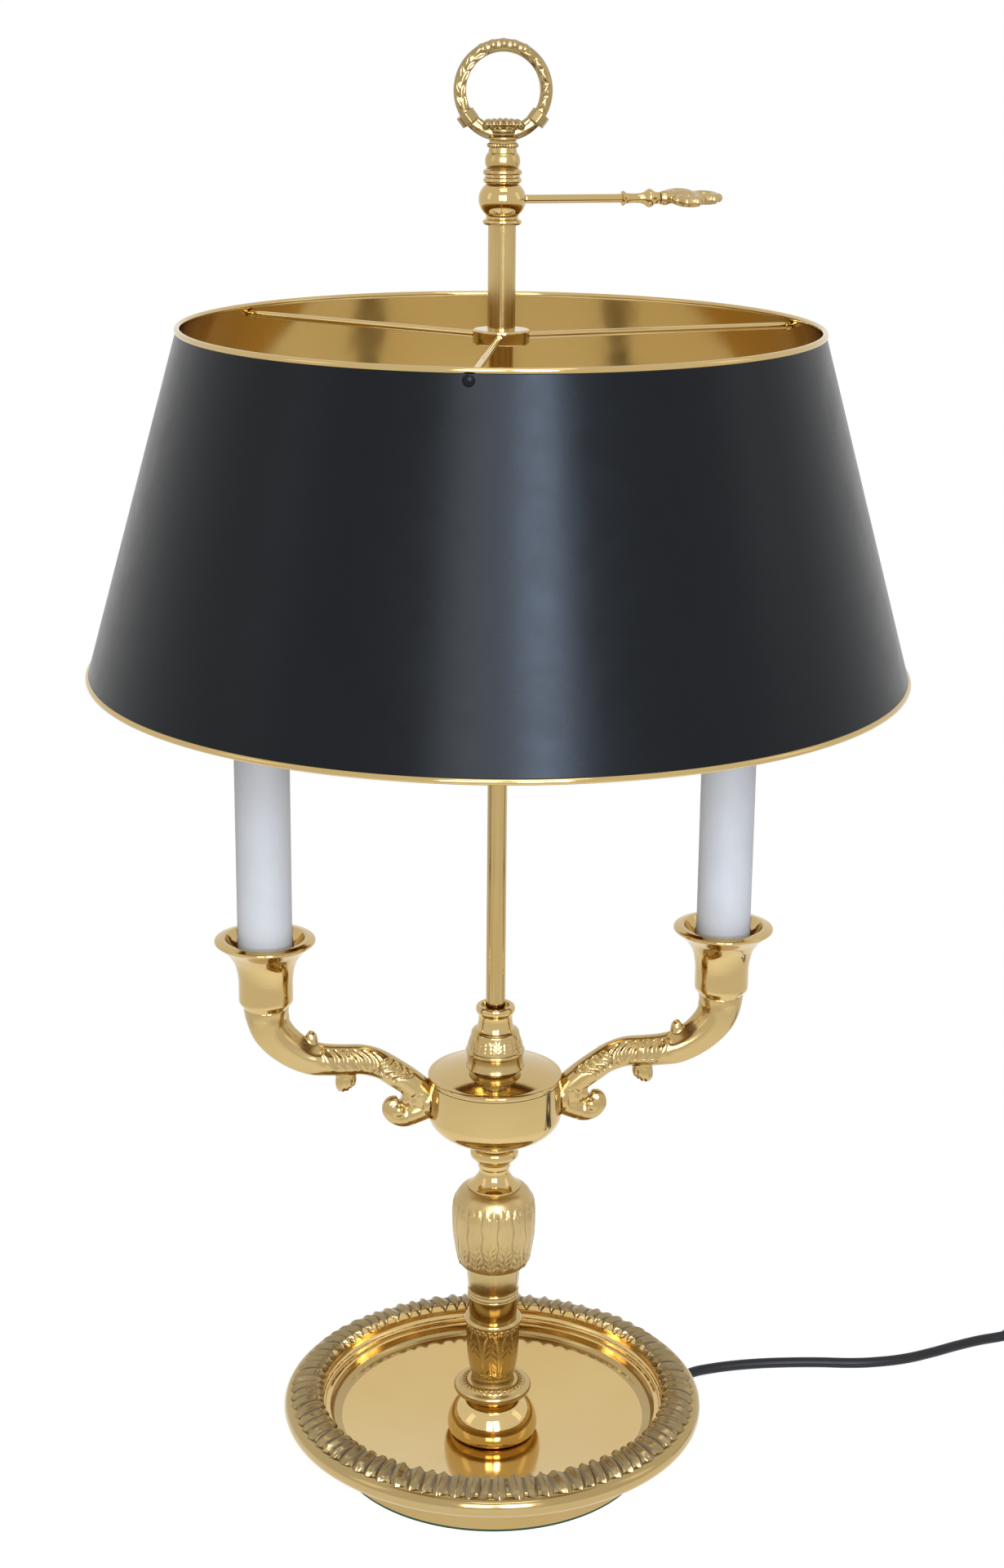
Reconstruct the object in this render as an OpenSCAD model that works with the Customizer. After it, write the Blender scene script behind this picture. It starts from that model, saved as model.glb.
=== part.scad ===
// Bouillotte lamp: a two-light brass table lamp with candle sleeves, a dish base and a
// cone shade that slides and turns on the centre rod and is clamped with a key screw.
// Origin: centre of the foot, on the table. +Z up. The two arms lie along the X axis.

/* [Base] */
// Radius of the dish at its outer lip
base_r = 97; // [95:0.5:102]
// Radius of the foot ring that stands on the table
foot_r = 73.2; // [70:0.2:74]
// Height of the dish's lip above the table
lip_z = 26; // [24:0.5:28]
// Thickness of the baize glued under the foot
felt_t = 1.2; // [0.8:0.1:1.6]

/* [Hub and arms] */
// Radius of the wiring drum
drum_r = 30.2; // [29.5:0.1:32]
// Distance from the lamp's axis to each candle
arm_reach = 102; // [100:0.5:106]
// Radius of the cups at their lip
cup_lip_r = 22.1; // [20:0.1:25]

/* [Candles and bulbs] */
// Outer diameter of the candle sleeves
candle_d = 24; // [23:0.1:24.2]
// Length of the candle sleeves
candle_h = 96; // [82:1:104]
// Diameter of the candle bulbs
bulb_d = 35; // [30:1:38]

/* [Rod and slide] */
// Diameter of the centre rod
rod_d = 8.6; // [8:0.1:8.8]
// Outer diameter of the tube that slides on the rod
slide_d = 11.5; // [11:0.1:13]

/* [Shade] */
// Radius of the shade at its lower rim
shade_low_r = 175.6; // [165:0.2:190]
// Radius of the shade at its upper rim
shade_top_r = 134.1; // [128:0.1:146]
// Height of the shade, rim to rim
shade_h = 147; // [140:0.5:152]
// Thickness of the shade's sheet metal
shade_t = 0.7; // [0.5:0.1:1]

/* [Finial and key] */
// Mean radius of the wreath ring
ring_r = 17; // [15:0.5:19]
// Direction in which the key points, in degrees from +X
key_angle = 8; // [0:1:16]

/* [Cord] */
// Diameter of the round mains lead
cord_d = 5; // [4.5:0.1:5]
// Radius of the middle turn of the stored coil
coil_mean_r = 30; // [29:0.5:30]

/* [Hidden] */
$fn = 96;
brass = "#d8b45c";
steel = "#9a9a9a";
white = "#f4f4f2";
jet = "#1b1b1d";

// Clearances: a turned part on its own screw or pipe, and a running fit
loose = 0.1;
running = 0.06;
// How far a strain relief squeezes the lead
grip = 0.15;

// M10 pipe thread carrier and its nut
pipe_r = 5;
pipe_bore_r = 3.5;
nut_r = 8.08;
nut_h = 3.5;

// Base
floor_z = 9;
floor_flat_r = 17;
floor_edge_r = base_r - 24.5;
floor_rise = 9.7;
floor_power = 1.2;
floor_t = 2.4;
boss_r = 8.6;
boss_top_z = 12.4;
channel_z = 5.6;
foot_wall = 3;

// Stem joints, from the floor up
ball_r = 19.6;
ball_mid_z = 12;
ball_top_z = 28.4;
flange_top_z = 35.6;
sleeve_top_z = 68.8;
band_top_z = 95.4;
urn_top_z = 134;
neck_top_z = 158;

// Hub
bowl_wall = 2.5;
bowl_mid_z = 171;
bowl_low_r = 10;
drum_top_z = 189.7;
lid_edge = 2.4;
lid_skirt = 2.8;
lid_top_z = 193.3;
lid_dome_r = 91;
arm_z = 177.4;
spigot_r = 4;
spigot_in = 22;
bell_top_z = 210.9;
collar_top_z = 222.3;
rod_low_z = 178;
rod_r = rod_d / 2;

// Cups, candles and lampholders. The flare widens from the cup's tube to its lip
cup_z = 219.8;
cup_tube_r = 12;
cup_flare = [[0.3, 20], [0.95, 23.5], [2, 26.5], [3.6, 29], [5.6, 31.5], [8.4, 34]];
sleeve_z = 244.8;
candle_r = candle_d / 2;
candle_wall = 1;
nipple_low_z = cup_z - 5.6;
nipple_top_z = 293.8;
holder_r = candle_r - candle_wall - loose;
holder_z = 286.8;
holder_top_z = sleeve_z + candle_h - 2;
cap_r = 6.95;
cap_h = 26;
bulb_h = 74;

// Carrier that slides on the rod
shade_z = 376;
shade_top_z = shade_z + shade_h;
bead_r = 1.3;
wall_slope = (shade_low_r - shade_top_r) / shade_h;
slide_r = slide_d / 2;
slide_bore_r = 5;
hub_disc_r = 11.8;
hub_disc_t = 6;
hub_disc_z = shade_top_z - 7.7;
spigot_low_z = hub_disc_z - 14;
ball_low_z = 563.7;
ball_high_z = 583.3;
clamp_z = 573.8;
bush_low_z = hub_disc_z + 12;
bush_h = 20;
spider_r = 1.5;
spider_z = hub_disc_z + 3;
spider_angles = [15, 140, 259];

// Finial
finial_z = 583.6;
finial_top_z = 599;
ring_z = 617.4;
ring_section_r = 3;

// In-line switch, coil and plug beside the lamp
switch_x = 322;
switch_y = 78;
switch_l = 60;
switch_w = 27;
switch_h = 15;
switch_axis_z = 7;
switch_wall = 2;
rocker_tilt = 7;
rocker_pivot_z = 12.4;
rocker_w = 10;
screw_x = 19;
screw_y = 8;
coil_x = 402;
coil_y = 48;
coil_z = 1;
cord_r = cord_d / 2;
coil_wide = 4 * cord_d;
coil_high = 2 * cord_d;
plug_x = 356;
plug_y = 0;
plug_t = 13.7;
plug_l = 36;
pin_gap = 19;

// Route of the lead from the clamp inside the foot to the switch
lead_route = [
    [24.8, 13, 5.2], [35.5, 18.5, 6.5], [46.7, 24.3, 7.3], [57.8, 30.1, 8], [66.9, 34.9, 8],
    [77.1, 40.1, 7], [85.2, 44.4, 4.4], [94.3, 49.3, 2.7], [100, 52.6, 2.5], [107, 56.4, 2.5],
    [115, 58.6, 2.5], [124, 60.2, 2.5], [136, 61.3, 2.5], [150, 61.4, 2.5], [170, 60, 2.5],
    [187, 57.8, 2.5], [199, 57.8, 2.5], [214, 59.9, 2.5], [229, 64.8, 2.5], [243, 70.4, 2.5],
    [257, 75.2, 2.5], [268, 77.4, 2.7], [278, 78.4, 4], [285, 78.2, 6.2], [291, 78, 7], [297, 78, 7]
];
exit_angle = atan2(lead_route[4].y, lead_route[4].x);
lead_angle = atan2(lead_route[0].y, lead_route[0].x);
// Clamp bar across the lead inside the foot: its distance from the axis, underside of the lead, screws
clamp_at = 40;
clamp_low_z = lead_route[1].z - cord_r;
clamp_t = 1.4;
clamp_hole_y = 6.5;
// Route from the switch to the outermost, lowest turn of the coil
link_route = [
    [347, 78, 7], [353, 78, 7], [359, 78.4, 6.4], [368, 79.6, 4.8],
    [380, 83.2, 3.6], [391, 85.4, 3.5], [402, 85.5, 3.5]
];
// Route from the top of the coil down to the plug
tail_route = [
    [402, 10.5, 8.5], [393, 10.4, 8.4], [384, 8.4, 7.8], [376, 4.6, 7.2],
    [369, 1.2, 6.9], [362, 0, 6.85], [354.5, 0, 6.85]
];

// ---------- shared shapes and curves ----------

// Points on an ellipse in the radius-height plane, from angle a0 to a1
function bend(r, z, rr, rz, a0, a1, n = 8) =
    [for (i = [0:n]) let (a = a0 + (a1 - a0) * i / n) [r + rr * cos(a), z + rz * sin(a)]];

// Height of the dish floor at radius r
function floor_at(r) =
    floor_z + floor_rise * pow(max(r - floor_flat_r, 0) / (floor_edge_r - floor_flat_r), floor_power);

// Outer radius of the shade's wall at height z
function shade_at(z) = shade_low_r - bead_r / 2 - (z - shade_z) * wall_slope;

// One step of a smooth curve through four neighbouring points
function between(a, b, c, d, t) =
    0.5 * (2 * b + (c - a) * t + (2 * a - 5 * b + 4 * c - d) * t * t + (3 * b - a - 3 * c + d) * t * t * t);

// A smooth curve through the points, with n pieces between neighbours
function smooth(p, n) = [
    for (i = [0:len(p) - 2], k = [0:n - 1])
        between(p[max(i - 1, 0)], p[i], p[i + 1], p[min(i + 2, len(p) - 1)], k / n),
    p[len(p) - 1]
];

function direction(p, i) =
    let (d = p[min(i + 1, len(p) - 1)] - p[max(i - 1, 0)]) d / norm(d);

// A closed tube along points p. radii holds the radius at each point, across is a vector
// square to the path's plane, or [0, 0, 0] for a path that never runs straight up,
// and flat narrows the section along across.
module tube_along(p, radii, sides, across = [0, 0, 0], flat = 1) {
    rings = [
        for (i = [0:len(p) - 1])
            let (
                d = direction(p, i),
                w = norm(across) > 0 ? across : cross(d, [0, 0, 1]) / norm(cross(d, [0, 0, 1])),
                u = cross(w, d)
            )
            for (k = [0:sides - 1])
                let (a = 360 * (k + 0.5) / sides) p[i] + radii[i] * (w * cos(a) * flat + u * sin(a))
    ];
    last = len(p) - 1;
    polyhedron(
        rings,
        concat(
            [[for (k = [0:sides - 1]) k]],
            [
                for (i = [0:last - 1], k = [0:sides - 1])
                    let (n = (k + 1) % sides)
                    [i * sides + k, (i + 1) * sides + k, (i + 1) * sides + n, i * sides + n]
            ],
            [[for (k = [sides - 1:-1:0]) last * sides + k]]
        )
    );
}

function even(r, p) = [for (i = p) r];

// A turned part with a bore on the lamp's axis
module turned(outline, bore_r) {
    difference() {
        rotate_extrude() polygon(outline);
        bore(bore_r, outline[0].y - 1, outline[len(outline) - 1].y + 1);
    }
}

module bore(r, z0, z1) {
    translate([0, 0, z0]) cylinder(r = r, h = z1 - z0);
}

module hex_nut(z, bore_r = pipe_r + 0.02, r = nut_r, h = nut_h) {
    translate([0, 0, z]) difference() {
        cylinder(r = r, h = h, $fn = 6);
        translate([0, 0, -1]) cylinder(r = bore_r, h = h + 2, $fn = 48);
    }
}

// Both sides of the lamp: the child stands on the right arm and its mirror on the left
module on_right() {
    translate([arm_reach, 0, 0]) children();
}

module on_left() {
    mirror([1, 0, 0]) on_right() children();
}

// ---------- base ----------

module foot_felt() {
    color("#2f4a36") cylinder(r = foot_r - 0.8, h = felt_t);
}

module base_dish() {
    floor_in = [
        for (i = [0:10])
            let (r = floor_edge_r + (floor_flat_r - floor_edge_r) * i / 10)
            [r, floor_at(r)]
    ];
    under = [
        for (i = [0:8])
            let (r = floor_flat_r + (foot_r - foot_wall - 4 - floor_flat_r) * i / 8)
            [r, floor_at(r) - floor_t]
    ];
    outline = concat(
        [[foot_r - foot_wall, felt_t], [foot_r - 0.6, felt_t], [foot_r, felt_t + 0.6]],
        [[foot_r + 0.4, lip_z - 12]],
        bend(foot_r + 6.4, lip_z - 12, 6, 5.6, 180, 96, 5),
        [[base_r - 7, lip_z - 3.9]],
        bend(base_r - 3.4, lip_z - 0.8, 3.4, 4.2, -100, 95, 12),
        bend(base_r - 14, lip_z + 1.5, 10.5, 6, 24, 90, 6),
        bend(base_r - 14, lip_z + 1.5, 3.6, 6, 110, 180, 5),
        [[base_r - 17.6, lip_z], [base_r - 19.3, lip_z - 0.6], [base_r - 19.6, lip_z - 1.8]],
        [[base_r - 21.5, lip_z - 2.9]],
        bend(floor_edge_r, lip_z - 4, 2.7, lip_z - 4 - floor_z - floor_rise, 0, -80, 4),
        floor_in,
        [[boss_r, floor_z], [boss_r, boss_top_z], [0, boss_top_z], [0, channel_z], [floor_flat_r, channel_z]],
        under,
        [[foot_r - foot_wall, floor_at(foot_r - 9) - 4]]
    );
    color(brass) difference() {
        union() {
            rotate_extrude() polygon(outline);
            clamp_posts(3.4, 0);
        }
        bore(pipe_r + 0.02, 0, boss_top_z + 1);
        clamp_posts(1.3, 1);
        along_exit(foot_r - 8) rotate([0, 90, 0]) cylinder(r = 4.2, h = 12);
    }
}

// A place on the lead's straight run inside the foot, at radius r and the lead's height there
module along_exit(r) {
    rotate([0, 0, exit_angle]) translate([r, 0, lead_route[4].z]) children();
}

// Two posts under the floor, one on each side of the lead, or the screw holes in them
module clamp_posts(r, hole) {
    for (side = [-1, 1])
        rotate([0, 0, exit_angle]) translate([clamp_at, side * clamp_hole_y, clamp_low_z - hole])
            cylinder(r = r, h = floor_at(clamp_at) - floor_t / 2 - clamp_low_z - 1.5 * hole, $fn = 32);
}

module cord_bushing() {
    color(jet) along_exit(foot_r - 4.4) rotate([0, 90, 0]) difference() {
        union() {
            cylinder(r = 4.1, h = 7);
            translate([0, 0, -1.2]) cylinder(r = 5.4, h = 1.4);
            translate([0, 0, 5.6]) cylinder(r = 5.4, h = 1.4);
        }
        translate([0, 0, -2]) cylinder(r = cord_r - grip, h = 11);
    }
}

module cord_clamp() {
    color(steel) rotate([0, 0, exit_angle]) translate([clamp_at, 0, clamp_low_z - clamp_t]) difference() {
        translate([-3.5, -10, 0]) cube([7, 20, clamp_t]);
        for (side = [-1, 1]) translate([0, side * clamp_hole_y, -1]) cylinder(r = 1.6, h = 4, $fn = 32);
    }
}

module clamp_screws() {
    color(steel) for (side = [-1, 1])
        rotate([0, 0, exit_angle]) translate([clamp_at, side * clamp_hole_y, clamp_low_z - clamp_t - 1.2]) {
            cylinder(r = 2.6, h = 1.2, $fn = 32);
            cylinder(r = 1.25, h = 7, $fn = 32);
        }
}

// ---------- stem ----------

module stem_tube() {
    color(brass) difference() {
        bore(pipe_r, channel_z, neck_top_z + 12);
        bore(pipe_bore_r, channel_z - 1, neck_top_z + 13);
    }
}

module stem_ball() {
    outline = concat(
        [[0, floor_z]],
        bend(0, ball_mid_z, ball_r, 5, -36.7, 0, 4),
        bend(0, ball_mid_z, ball_r, ball_r, 6, 56, 9),
        [[0, ball_top_z]]
    );
    color(brass) difference() {
        turned(outline, pipe_r + loose);
        bore(9.5, floor_z - 1, ball_mid_z + 5);
    }
}

module stem_flange() {
    color(brass) turned(
        concat(
            [[0, ball_top_z], [11.6, ball_top_z], [14, ball_top_z + 0.8]],
            bend(15.9, ball_top_z + 4.2, 2, 2.1, -75, 70, 7),
            [[15.6, flange_top_z - 1.2]],
            bend(13.6, flange_top_z - 1.2, 1.6, 1.4, 10, 170, 6),
            [[11.8, flange_top_z], [0, flange_top_z]]
        ),
        pipe_r + loose
    );
}

module stem_sleeve() {
    z = flange_top_z;
    color(brass) turned(
        concat(
            [[0, z], [10.4, z], [9.8, z + 2], [9.6, z + 3.9], [10.3, z + 5.9], [11, z + 8.7]],
            [[11.8, z + 14.7], [12.1, z + 21.4], [12.4, z + 28.4], [12.4, z + 30]],
            bend(12, z + 31.7, 1.2, 1.5, -70, 80, 6),
            [[0, sleeve_top_z]]
        ),
        pipe_r + loose
    );
}

module stem_band() {
    z = sleeve_top_z;
    color(brass) turned(
        concat(
            [[0, z], [11, z], [11.1, z + 9.6]],
            bend(11.2, z + 10.7, 0.7, 0.8, -90, 90, 5),
            bend(11.2, z + 13.7, 0.7, 0.8, -90, 90, 5),
            [[11.7, z + 15.2], [12.2, z + 21.2], [12.6, band_top_z], [0, band_top_z]]
        ),
        pipe_r + loose
    );
}

module stem_urn() {
    z = band_top_z;
    color(brass) turned(
        concat(
            [[0, z], [12.6, z], [14.6, z + 0.3], [16, z + 1.5], [16.7, z + 3.1], [17.2, z + 5.7]],
            [[18, z + 10.3], [18.6, z + 14.7], [19, z + 19.7]],
            bend(12.2, z + 25.5, 6.9, 13, 0, 84, 9),
            [[12.4, urn_top_z], [0, urn_top_z]]
        ),
        pipe_r + loose
    );
}

module stem_neck() {
    z = urn_top_z;
    color(brass) turned(
        concat(
            [[0, z], [12.2, z], [12.2, z + 0.9], [10.9, z + 1.7], [9, z + 3.6]],
            bend(11.2, z + 8, 4.2, 4.6, 210, 150, 5),
            [[7.6, z + 12], [8.8, z + 13.2], [9.2, z + 14]],
            bend(9.9, z + 16.2, 1.1, 1.5, -80, 0, 5),
            [[11, z + 18.2], [10.4, z + 19.4], [9.5, z + 20], [9.5, neck_top_z], [0, neck_top_z]]
        ),
        pipe_r + loose
    );
}

// The four identical M10 nuts: on the dish, in the drum and in both cups
module pipe_locknuts() {
    color(steel) {
        hex_nut(boss_top_z);
        hex_nut(neck_top_z + bowl_wall);
        on_right() hex_nut(cup_z + 3.5);
        on_left() hex_nut(cup_z + 3.5);
    }
}

// ---------- hub ----------

module hub_bowl() {
    wall_top = drum_top_z - lid_edge;
    reach = drum_r - bowl_low_r;
    depth = bowl_mid_z - neck_top_z;
    outline = concat(
        [[0, neck_top_z]],
        bend(bowl_low_r, bowl_mid_z, reach, depth, -90, 0, 12),
        [[drum_r, wall_top], [drum_r - bowl_wall, wall_top]],
        bend(bowl_low_r, bowl_mid_z, reach - bowl_wall, depth - bowl_wall, 0, -90, 12),
        [[0, neck_top_z + bowl_wall]]
    );
    color(brass) difference() {
        rotate_extrude() polygon(outline);
        bore(pipe_r + loose, neck_top_z - 1, neck_top_z + bowl_wall + 1);
        translate([0, 0, arm_z]) rotate([0, 90, 0])
            cylinder(r = spigot_r + 0.05, h = 2 * drum_r + 2, center = true);
    }
}

module hub_lid() {
    skirt_r = drum_r - bowl_wall - loose;
    color(brass) turned(
        concat(
            [[0, drum_top_z - lid_edge], [skirt_r - 2, drum_top_z - lid_edge]],
            [[skirt_r - 2, drum_top_z - lid_edge - lid_skirt], [skirt_r, drum_top_z - lid_edge - lid_skirt]],
            [[skirt_r, drum_top_z - lid_edge]],
            [[drum_r - 0.5, drum_top_z - lid_edge], [drum_r, drum_top_z - lid_edge + 0.4]],
            bend(drum_r - 1, drum_top_z - 1, 1, 1, 0, 80, 4),
            bend(0, lid_top_z - 0.9901 * lid_dome_r, lid_dome_r, lid_dome_r, 71.5, 81.9, 6),
            [[0, lid_top_z]]
        ),
        rod_r + 0.05
    );
}

module hub_bell() {
    z = lid_top_z;
    color(brass) turned(
        concat(
            [[0, z], [13.1, z], [12.6, z + 1.7], [12.4, z + 3.7], [12.6, z + 5.8]],
            bend(12.3, z + 7.2, 1, 1.2, -70, 80, 6),
            [[12.4, z + 8.8], [11.9, z + 11], [10.9, z + 14.1]],
            bend(8.6, bell_top_z - 1.9, 2.2, 1.9, 0, 80, 5),
            [[0, bell_top_z]]
        ),
        rod_r + 0.05
    );
}

module rod_collar() {
    z = bell_top_z;
    color(brass) difference() {
        turned(
            concat(
                [[0, z], [8.6, z], [8, z + 1.8], [7.6, z + 4], [7.6, z + 6.4]],
                bend(7.6, collar_top_z - 1.9, 1.2, 1.9, -70, 90, 6),
                [[0, collar_top_z]]
            ),
            rod_r + 0.05
        );
        bore(6.2, collar_top_z - 1.4, collar_top_z + 1);
    }
}

module rod() {
    color(brass) {
        bore(rod_r, rod_low_z, finial_z);
        bore(3, finial_z - 1, finial_z + 9);
    }
}

module rod_nut() {
    color(steel) hex_nut(drum_top_z - lid_edge - 4, rod_r + 0.02, nut_r, 4);
}

// Two-way terminal block inside the drum
module connector_block() {
    color(white) translate([0, 13.5, 168]) difference() {
        cube([17, 9, 9], center = true);
        for (x = [-4, 4]) translate([x, 0, 0]) {
            rotate([90, 0, 0]) cylinder(r = 1.7, h = 12, center = true, $fn = 32);
            translate([0, 0, 2]) cylinder(r = 1.5, h = 6, $fn = 32);
        }
    }
}

// ---------- arms ----------

// Centre line of the arm from the drum to the cup, as [x, radius, z]
arm_line = [
    [29, 6.2, 176.9], [34.5, 6.3, 182.7], [40, 6.3, 187.4], [44.6, 6.4, 190.6], [49, 6.3, 193.7],
    [54, 6.6, 196.2], [60, 6.8, 197.8], [67, 7, 197.9], [74, 7.2, 198.1], [80, 7.4, 198.8],
    [86, 7.6, 200.9], [91.6, 8, 204.4], [96.6, 8.5, 209], [100.2, 9, 214.2], [102, 9.6, 220.9]
];
// Volute under the inner end of the arm, curling away from the drum
volute_line = [
    [30, 5, 174.3], [36, 5, 171.9], [41, 4.6, 169.9], [44.8, 3.8, 170.2],
    [47.2, 3.3, 173], [46.6, 3, 176], [44, 2.6, 176.6]
];
// Metal that fills the fork between the arm and its volute
fork_line = [[33, 5.5, 178], [38, 5, 179], [41, 3.6, 179.6]];
// Round knobs as [x, radius, z]: the volute's eye, a drop below the arm, a bud on top
knobs = [
    [44.2, 4.2, 173.4], [67.5, 4.3, 187.3], [68, 3.6, 185.4], [81.3, 3.4, 205.5], [79.6, 2.5, 207.6]
];
// Straight stretches of the wire passage, from the drum to the cup
wire_line = [
    [20, 0, 177.4], [33, 0, 177.4], [50, 0, 194.2], [62, 0, 197.6],
    [78, 0, 198.2], [93, 0, 205.4], [102, 0, 216]
];
passage_r = 2.1;
wire_r = 1.2;

// Takes the arm's own lines to the arm reach that is set
function placed(line) = [for (q = line) [q.x * arm_reach / 102, 0, q.z]];

// A rounded limb through the points of a line that holds [x, radius, z]
module limb(line) {
    at = placed(line);
    for (i = [0:len(line) - 2])
        hull() {
            translate(at[i]) sphere(r = line[i].y, $fn = 20);
            translate(at[i + 1]) sphere(r = line[i + 1].y, $fn = 20);
        }
}

// A round hole of radius r along the wire passage
module passage(r) {
    at = placed(wire_line);
    for (i = [0:len(at) - 2])
        let (d = at[i + 1] - at[i])
            translate(at[i]) rotate([0, atan2(d.x, d.z), 0]) {
                cylinder(r = r, h = norm(d), $fn = 16);
                sphere(r = r, $fn = 16);
            }
}

module arm_casting() {
    at = placed(knobs);
    union() {
        limb(arm_line);
        limb(volute_line);
        limb(fork_line);
        for (i = [0:len(knobs) - 1])
            translate(at[i]) sphere(r = knobs[i].y, $fn = 20);
    }
}

module arm_body() {
    difference() {
        union() {
            difference() {
                arm_casting();
                bore(drum_r + 0.02, 150, 200);
                translate([arm_reach - 20, -20, cup_z]) cube([40, 40, 20]);
            }
            translate([spigot_in, 0, arm_z]) rotate([0, 90, 0]) cylinder(r = spigot_r, h = 12, $fn = 64);
        }
        translate([arm_reach, 0, nipple_low_z - 0.4]) cylinder(r = pipe_r + 0.02, h = 8, $fn = 48);
        passage(passage_r);
    }
}

module arm_right() {
    color(brass) arm_body();
}

module arm_left() {
    color(brass) mirror([1, 0, 0]) arm_body();
}

module arm_nuts() {
    color(steel) for (side = [-1, 1])
        translate([side * 25.2, 0, arm_z]) rotate([0, 90, 0]) difference() {
            cylinder(r = 6.9, h = 3, center = true, $fn = 6);
            cylinder(r = spigot_r + 0.02, h = 4, center = true, $fn = 48);
        }
}

// ---------- cups, candles and bulbs ----------

module cup() {
    z = cup_z;
    lip = cup_lip_r;
    outline = concat(
        [[pipe_r + loose, z], [9.6, z], [9.8, z + 4.6], [11.9, z + 7.6], [cup_tube_r, z + 17]],
        [for (q = cup_flare) [cup_tube_r + q.x * (lip - cup_tube_r) / 10.2, z + q.y]],
        bend(lip - 0.7, z + 35.8, 0.8, 0.8, -60, 80, 5),
        bend(lip - 3.6, z + 35.4, 2.8, 1.9, 60, 120, 4),
        [[16.2, z + 34], [14.2, z + 29.6], [candle_r + 0.5, sleeve_z + 3], [candle_r + loose, sleeve_z]],
        [[9.6, sleeve_z], [9.6, z + 8.6], [8.5, z + 7.4], [8.5, z + 3.5], [pipe_r + loose, z + 3.5]]
    );
    color(brass) rotate_extrude() polygon(outline);
}

module cup_right() {
    on_right() cup();
}

module cup_left() {
    on_left() cup();
}

module holder_nipples() {
    color(brass) for (side = [-1, 1])
        translate([side * arm_reach, 0, 0]) difference() {
            bore(pipe_r, nipple_low_z, nipple_top_z);
            bore(pipe_bore_r, nipple_low_z - 1, nipple_top_z + 1);
        }
}

module lampholder() {
    color("#2a2a2a") difference() {
        bore(holder_r, holder_z, holder_top_z);
        bore(cap_r + 0.15, holder_top_z - cap_h - 1, holder_top_z + 1);
        bore(pipe_r + 0.02, holder_z - 1, nipple_top_z);
        bore(3, nipple_top_z - 1, holder_top_z - cap_h - 4);
    }
}

module lampholder_right() {
    on_right() lampholder();
}

module lampholder_left() {
    on_left() lampholder();
}

module candle() {
    color(white) difference() {
        bore(candle_r, sleeve_z, sleeve_z + candle_h);
        bore(candle_r - candle_wall, sleeve_z - 1, sleeve_z + candle_h + 1);
    }
}

module candle_right() {
    on_right() candle();
}

module candle_left() {
    on_left() candle();
}

// Half outline of the candle bulb, shrunk by the thickness of its glass
function bulb_outline(t) = concat(
    [[6.8 - t, 0], [7 - t, 4], [8.6 - t, 9]],
    bend(0, 30, bulb_d / 2 - t, 22, -52, 0, 8),
    bend(0, 30, bulb_d / 2 - t, 36 - t, 6, 66, 8),
    [[4.4 - t, 65.5], [2 - t / 2, bulb_h - 3]]
);

module bulb_glass() {
    glass_t = 0.8;
    color("#f7f3e6") translate([0, 0, holder_top_z]) rotate_extrude() difference() {
        polygon(concat([[0, 0]], bulb_outline(0), [[0, bulb_h - 2]]));
        polygon(concat([[0, 1]], [for (q = bulb_outline(glass_t)) [q.x, max(q.y, 1)]], [[0, bulb_h - 4.6]]));
    }
}

module bulb_glass_right() {
    on_right() bulb_glass();
}

module bulb_glass_left() {
    on_left() bulb_glass();
}

module bulb_caps() {
    color(steel) for (side = [-1, 1])
        translate([side * arm_reach, 0, 0]) {
            bore(cap_r, holder_top_z - cap_h + 2, holder_top_z);
            bore(3.6, holder_top_z - cap_h, holder_top_z - cap_h + 3);
        }
}

// ---------- wiring ----------

stem_wire_line = [
    [28, 0, 5.2], [23, 0, 4.5], [17, 0, 3.9], [12, 0, 3.6], [6, 0, 3.5], [2, 0, 4.4], [0.5, 0, 8],
    [0, 0, 14], [0, 0, 90], [0, 0, 165.9], [0.4, 0, 170.5], [2.2, 0, 172.9], [4.8, 0, 172.9],
    [6.8, 0, 170.5], [9, 0, 169.5]
];

module stem_wire() {
    line = smooth(stem_wire_line, 2);
    bottom = [for (q = line) if (q.z < 100) q];
    top = [for (q = line) if (q.z > 100) q];
    color(jet) {
        rotate([0, 0, lead_angle]) tube_along(bottom, even(1.5, bottom), 8, [0, 1, 0]);
        rotate([0, 0, 90]) tube_along(concat([[0, 0, 89]], top), even(1.5, concat([0], top)), 8, [0, 1, 0]);
    }
}

// From the terminal block round to the arm's bore, seen from the right-hand side
block_line = [[8.5, 13.5, 168.9], [12, 12, 170.9], [14.4, 8, 174.5], [16.6, 3, 176.9], [20, 0.2, 177.4]];

module arm_wire() {
    inside = placed([for (i = [1:len(wire_line) - 1]) wire_line[i]]);
    riser = [[arm_reach + 0.2, 0, cup_z + 2.2], [arm_reach + 0.8, 0, nipple_top_z + 6]];
    line = concat(smooth(block_line, 2), inside, riser);
    tube_along(line, even(wire_r, line), 8);
}

module arm_wires() {
    color(white) {
        arm_wire();
        mirror([1, 0, 0]) arm_wire();
    }
}

// ---------- finial ----------

module finial_neck() {
    z = finial_z;
    color(brass) difference() {
        rotate_extrude() polygon(concat(
            [[0, z], [7.7, z]],
            bend(7.2, z + 1, 0.8, 1, -60, 80, 5),
            [[6.9, z + 2.4]],
            bend(5.2, z + 5.4, 2, 3.6, -55, 70, 8),
            [[5.7, z + 10]],
            bend(5.4, z + 11.7, 1, 0.9, -90, 90, 5),
            [[5.5, z + 13.2]],
            bend(5.5, z + 14.4, 0.9, 0.7, -80, 80, 4),
            [[4.8, finial_top_z], [0, finial_top_z]]
        ));
        bore(3.03, z - 1, z + 9.5);
        bore(1.53, finial_top_z - 3.6, finial_top_z + 1);
    }
}

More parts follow.
